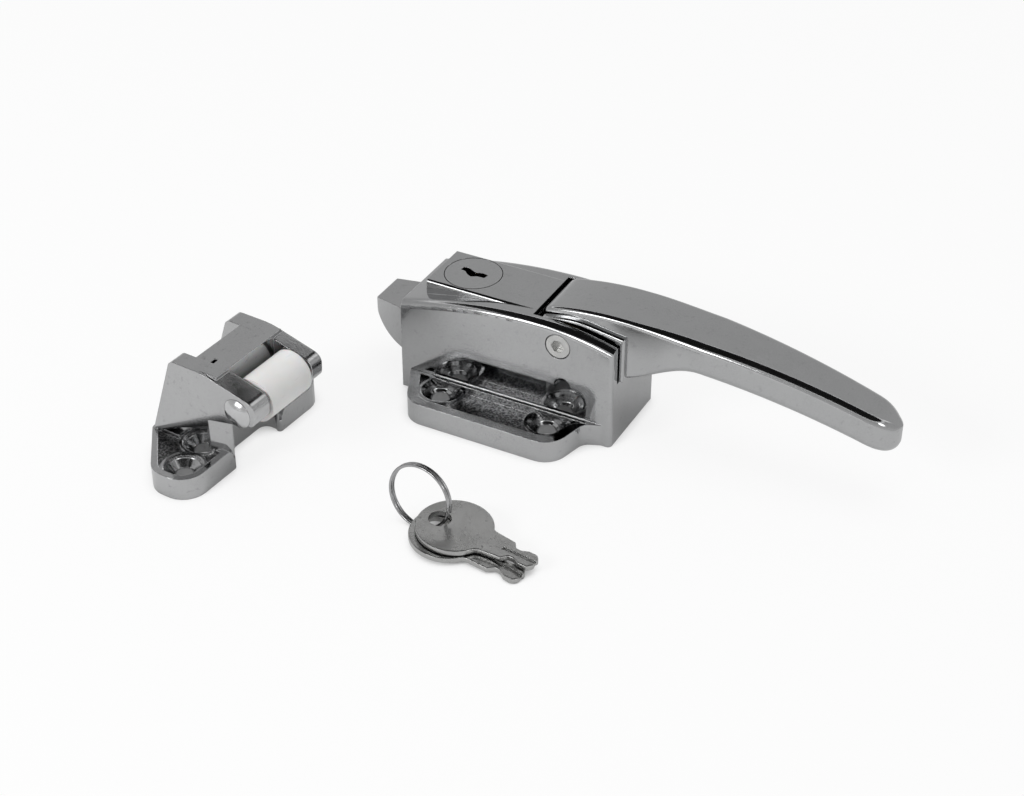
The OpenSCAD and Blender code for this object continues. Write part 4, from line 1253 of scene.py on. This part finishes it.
@dataclass
class KeySet(SubAssembly):
    """Two keys on a split ring."""

    centre: tuple = (6.4, -87.9, 12.4)
    radius: float = 11.8
    wire: float = 1.2
    pitch: float = 1.25
    turns: float = 1.75
    start_deg: float = -10.0
    holes: tuple = ((14.4, -88.7, 4.3), (12.9, -89.6, 1.9))
    turned_deg: tuple = (-5.5, -13.0)
    tilt_deg: float = 2.6
    bow_mid: float = 6.0
    bow_r: float = 13.5
    hole_r: float = 4.0
    thickness: float = 2.1
    rim: float = 0.35
    groove: float = 0.7
    shoulder: tuple = (
        (18.0, -6.18, 0), (19.6, -5.6, 2.5), (27.4, -4.8, 1.0), (29.2, -2.5, 1.2),
        (31.2, -2.4, 2.0), (33.6, -3.6, 1.5), (37.0, -3.6, 2.0), (38.4, -1.8, 1.3),
    )
    turn_deg: float = -96.0
    lean_deg: float = -5.7

    def ring(self) -> Piece:
        """Split ring: a helix of close turns, (p a / 2 pi, R cos a, R sin a), stood upright.

        Returns:
            The ring.
        """
        a = np.linspace(0, 2 * math.pi * self.turns, 240)
        along = self.pitch * (a / (2 * math.pi) - self.turns / 2)
        local = np.stack([along, self.radius * np.cos(a), self.radius * np.sin(a)], -1)
        out = np.stack([np.zeros_like(a), np.cos(a), np.sin(a)], -1)
        side = np.stack([np.ones_like(a), np.zeros_like(a), np.zeros_like(a)], -1)
        grid = tube(local, out, side, self.wire / 2, 14)
        spin = Matrix.Rotation(math.radians(self.start_deg), 3, "X")
        lean = Matrix.Rotation(math.radians(self.lean_deg), 3, "Y")
        turn = Matrix.Rotation(math.radians(self.turn_deg), 3, "Z")
        grid = grid @ np.array(turn @ lean @ spin).T + np.array(self.centre)
        return face_outwards(make_object("split_ring", *skin(grid)))

    def key(self, name: str, which: int) -> Piece:
        """Key: round bow, neck and short bulged blade with a groove along its middle.

        The outline is the bow's arc joined to the shoulder points and to the
        same points mirrored. The plate is tilted about Y, turned about Z and
        moved to its hole.

        Args:
            name: Name of the piece.
            which: 0 for the upper key, 1 for the lower one.

        Returns:
            The key.
        """
        half = np.array(self.shoulder)
        other = half[::-1] * np.array([1, -1, 1])
        rest = round_corners([*half.tolist(), *other.tolist()], 4)
        a = math.degrees(math.atan2(-half[0, 1], half[0, 0] - self.bow_mid))
        bow = arc(self.bow_mid, 0, self.bow_r, a, 360 - a, 72)[1:-1]
        hole = arc(0, 0, self.hole_r, 0, 352.5, 48)
        outline = np.concatenate([rest, bow])
        verts, faces = plate(outline, 0, self.thickness, self.rim, hole)
        turn = Matrix.Rotation(math.radians(self.turned_deg[which]), 4, "Z")
        tilt = Matrix.Rotation(math.radians(self.tilt_deg), 4, "Y")
        place = Matrix.Translation(Vector(self.holes[which])) @ turn @ tilt
        matrix = np.array(place)
        obj = even_normals(make_object(name, verts @ matrix[:3, :3].T + matrix[:3, 3], faces))
        carve(obj, (25.5, -1.0, self.thickness - self.groove), (40, 0.6, 4), place)
        carve(obj, (25.5, -0.6, -2), (40, 1.0, self.groove), place)
        return even_normals(obj)

    def build(self) -> None:
        """Builds the ring and the keys."""
        # Keys: full painted highlight on worn edges, and painted shade over a wider reach.
        nickel = MetalFinish(
            "nickelled key", (0.43, 0.43, 0.425), 0.18, edge_mm=0.3, smear=0.16, marks=0.6, edge_rub_and_sheen=1.0,
            size=1.4, crease_shade_mm=1.1,
        ).build()
        place_piece(self.key("upper_key_plate", 0), nickel, "upper_key", "key_metal", "key_upper")
        place_piece(self.key("lower_key_plate", 1), nickel, "lower_key", "key_metal", "key_lower")
        wire = MetalFinish(
            "ring wire", (0.40, 0.40, 0.405), 0.06, edge_mm=0.05, size=2.5, crease_shade_mm=0.6
        ).build()
        place_piece(self.ring(), wire, "ring", "key_metal", "key_ring")


# Studio


@dataclass
class Studio:
    """Pale floor, soft lamps, world and the photograph's camera."""

    camera_mm: tuple = (283.0, -545.15, 428.3)
    yaw_deg: float = -27.84
    pitch_deg: float = 35.13
    focal_px: float = 2000.5
    width_px: float = 1024.0
    floor_half_m: float = 3.0
    sink_mm: float = 0.05
    floor_grey: float = 0.82
    shadow_m: float = 0.008
    room_grey: float = 0.55
    sensor_mm: float = 36.0
    tent: tuple = (
        (0.0, 0.70), (0.40, 0.56), (0.58, 0.54), (0.68, 0.50), (0.70, 1.3),
        (0.725, 1.3), (0.745, 0.02), (1.0, 0.01),
    )
    softboxes: tuple = (
        ((-0.28, -0.54, 0.79), 13.0, 18.0, 0.01),
        ((-0.42, -0.80, 0.43), 4.0, 8.0, 7.0),
        ((-0.18, -0.90, 0.40), 4.0, 8.0, 7.0),
        ((0.80, -0.30, 0.52), 6.0, 10.0, 4.0),
        ((0.50, 0.60, 0.62), 5.0, 9.0, 1.4),
    )

    def camera(self) -> None:
        """Sets the camera where the photograph was taken, with its own field of view."""
        yaw, pitch = math.radians(self.yaw_deg), math.radians(self.pitch_deg)
        level = Vector((math.sin(yaw), math.cos(yaw), 0.0)) * math.cos(pitch)
        ahead = level - Vector((0.0, 0.0, math.sin(pitch)))
        right = Vector((math.cos(yaw), -math.sin(yaw), 0.0))
        turn = Matrix((right, right.cross(ahead), -ahead)).transposed().to_4x4()
        data = bpy.data.cameras.new("camera")
        data.sensor_width = self.sensor_mm
        data.lens = self.focal_px / self.width_px * self.sensor_mm
        cam = bpy.data.objects.new("camera", data)
        cam.matrix_world = Matrix.Translation(Vector(self.camera_mm) * MM) @ turn
        bpy.context.scene.collection.objects.link(cam)
        bpy.context.scene.camera = cam

    def lamp(self, name: str, place: tuple, size: tuple, watts: float) -> None:
        """Adds one soft rectangular lamp that looks at the object.

        Polished metal shows the softboxes of the world in its place.

        Args:
            name: Name of the lamp.
            place: Where it stands, in metres.
            size: Its two sides in metres.
            watts: Its power.
        """
        data = bpy.data.lights.new(name, "AREA")
        data.shape = "RECTANGLE"
        data.size, data.size_y = size
        data.energy = watts
        obj = bpy.data.objects.new(name, data)
        obj.location = place
        obj.rotation_euler = (-Vector(place)).to_track_quat("-Z", "Y").to_euler()
        obj.visible_glossy = False
        bpy.context.scene.collection.objects.link(obj)

    def floor(self) -> None:
        """Adds the floor, which looks almost white to the camera and keeps soft shadows.

        Its share of plain white falls where something stands close to it.
        """
        h = self.floor_half_m
        verts = np.array([[-h, -h, 0], [h, -h, 0], [h, h, 0], [-h, h, 0]]) / MM
        verts[:, 2] -= self.sink_mm
        obj = make_object("floor", verts, [[0, 1, 2, 3]], smooth=False)
        grey = (self.floor_grey,) * 3
        mat, n, shader = start_material(
            "pale floor", grey, Base_Color=(*grey, 1), Roughness=0.9, Specular_IOR_Level=0.1
        )
        glow = n.add("Emission", Color=(1, 1, 1, 1), Strength=1.0).outputs[0]
        light, clear = self.straight_rays(n)
        near = n.add("AmbientOcclusion", samples=4, Distance=self.shadow_m).outputs["AO"]
        clear = n.mul(clear, n.ramp(near, 0.05, 0.7))
        share = n.plus(n.mul(clear, 0.85), light["Is Glossy Ray"], 0.1)
        mixed = n.add("MixShader", i0=share, i1=shader.outputs[0], i2=glow).outputs[0]
        n.link(mat.node_tree.nodes["Material Output"], Surface=mixed)
        obj.data.materials.append(mat)
        obj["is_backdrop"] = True

    def straight_rays(self, n: Nodes) -> tuple:
        """Finds the rays that reach the camera straight or through glass.

        Args:
            n: Nodes of the tree.

        Returns:
            Outputs of the light path, and the socket of the mask.
        """
        light = n.add("LightPath").outputs
        return light, n.math("MAXIMUM", light["Is Camera Ray"], light["Is Transmission Ray"])

    def world(self) -> None:
        """Soft world: white where the camera sees it, and banded by height in reflections.

        The bands stand for the walls and the roof of a light tent: grey walls,
        a bright seam above them and a dark roof. Each softbox is a soft round
        bright place about one direction, and the first one is a dark card.
        """
        world = bpy.data.worlds.new("light tent")
        bpy.context.scene.world = world
        world.use_nodes = True
        n = Nodes(world.node_tree)
        back = world.node_tree.nodes["Background"]
        towards = n.add("TexCoord").outputs["Generated"]
        up = n.add("SeparateXYZ", Vector=towards).outputs[2]
        ramp = n.add("ValToRGB", Fac=n.ramp(up, 0.0, 1.0))
        points = ramp.color_ramp.elements
        for k, (at, grey) in enumerate(self.tent):
            point = points[k] if k < 2 else points.new(at)
            point.position = at
            point.color = (grey, grey, grey, 1)
        shown = ramp.outputs[0]
        for direction, inner, outer, grey in self.softboxes:
            facing = n.add("VectorMath", operation="DOT_PRODUCT", i0=towards, i1=direction)
            ends = (math.cos(math.radians(outer)), math.cos(math.radians(inner)))
            shown = n.mix(n.ramp(facing.outputs["Value"], *ends), shown, (grey,) * 3)
        light, clear = self.straight_rays(n)
        plain = n.mix(light["Is Glossy Ray"], (self.room_grey,) * 3, shown)
        n.link(back, Color=n.mix(clear, plain, WHITE))
        back.inputs["Strength"].default_value = 1.0

    def build(self) -> None:
        """Builds camera, floor, world and lamps, and sets the view transform."""
        self.camera()
        self.floor()
        self.world()
        self.lamp("key lamp", (-0.64, -1.34, 0.83), (0.7, 0.45), 15.0)
        self.lamp("roof lamp", (0.2, 0.1, 1.8), (1.2, 1.2), 8.0)
        bpy.context.scene.view_settings.view_transform = "Standard"


def corners() -> list:
    """The whole object's box as plain lists of numbers."""
    return [list(map(float, corner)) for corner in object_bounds()]


def main() -> None:
    """Builds every sub-assembly in order, then the studio."""
    logging.basicConfig(level=logging.INFO, format="%(name)s: %(message)s")
    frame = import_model()
    for kind in (LatchHousing, LiftingLever, SpringBolt, KeyLock, RollerStrike, KeySet):
        kind(frame).build()
        LOG.info("finished %s", kind.__name__)
    Studio().build()


if __name__ == "__main__":
    main()
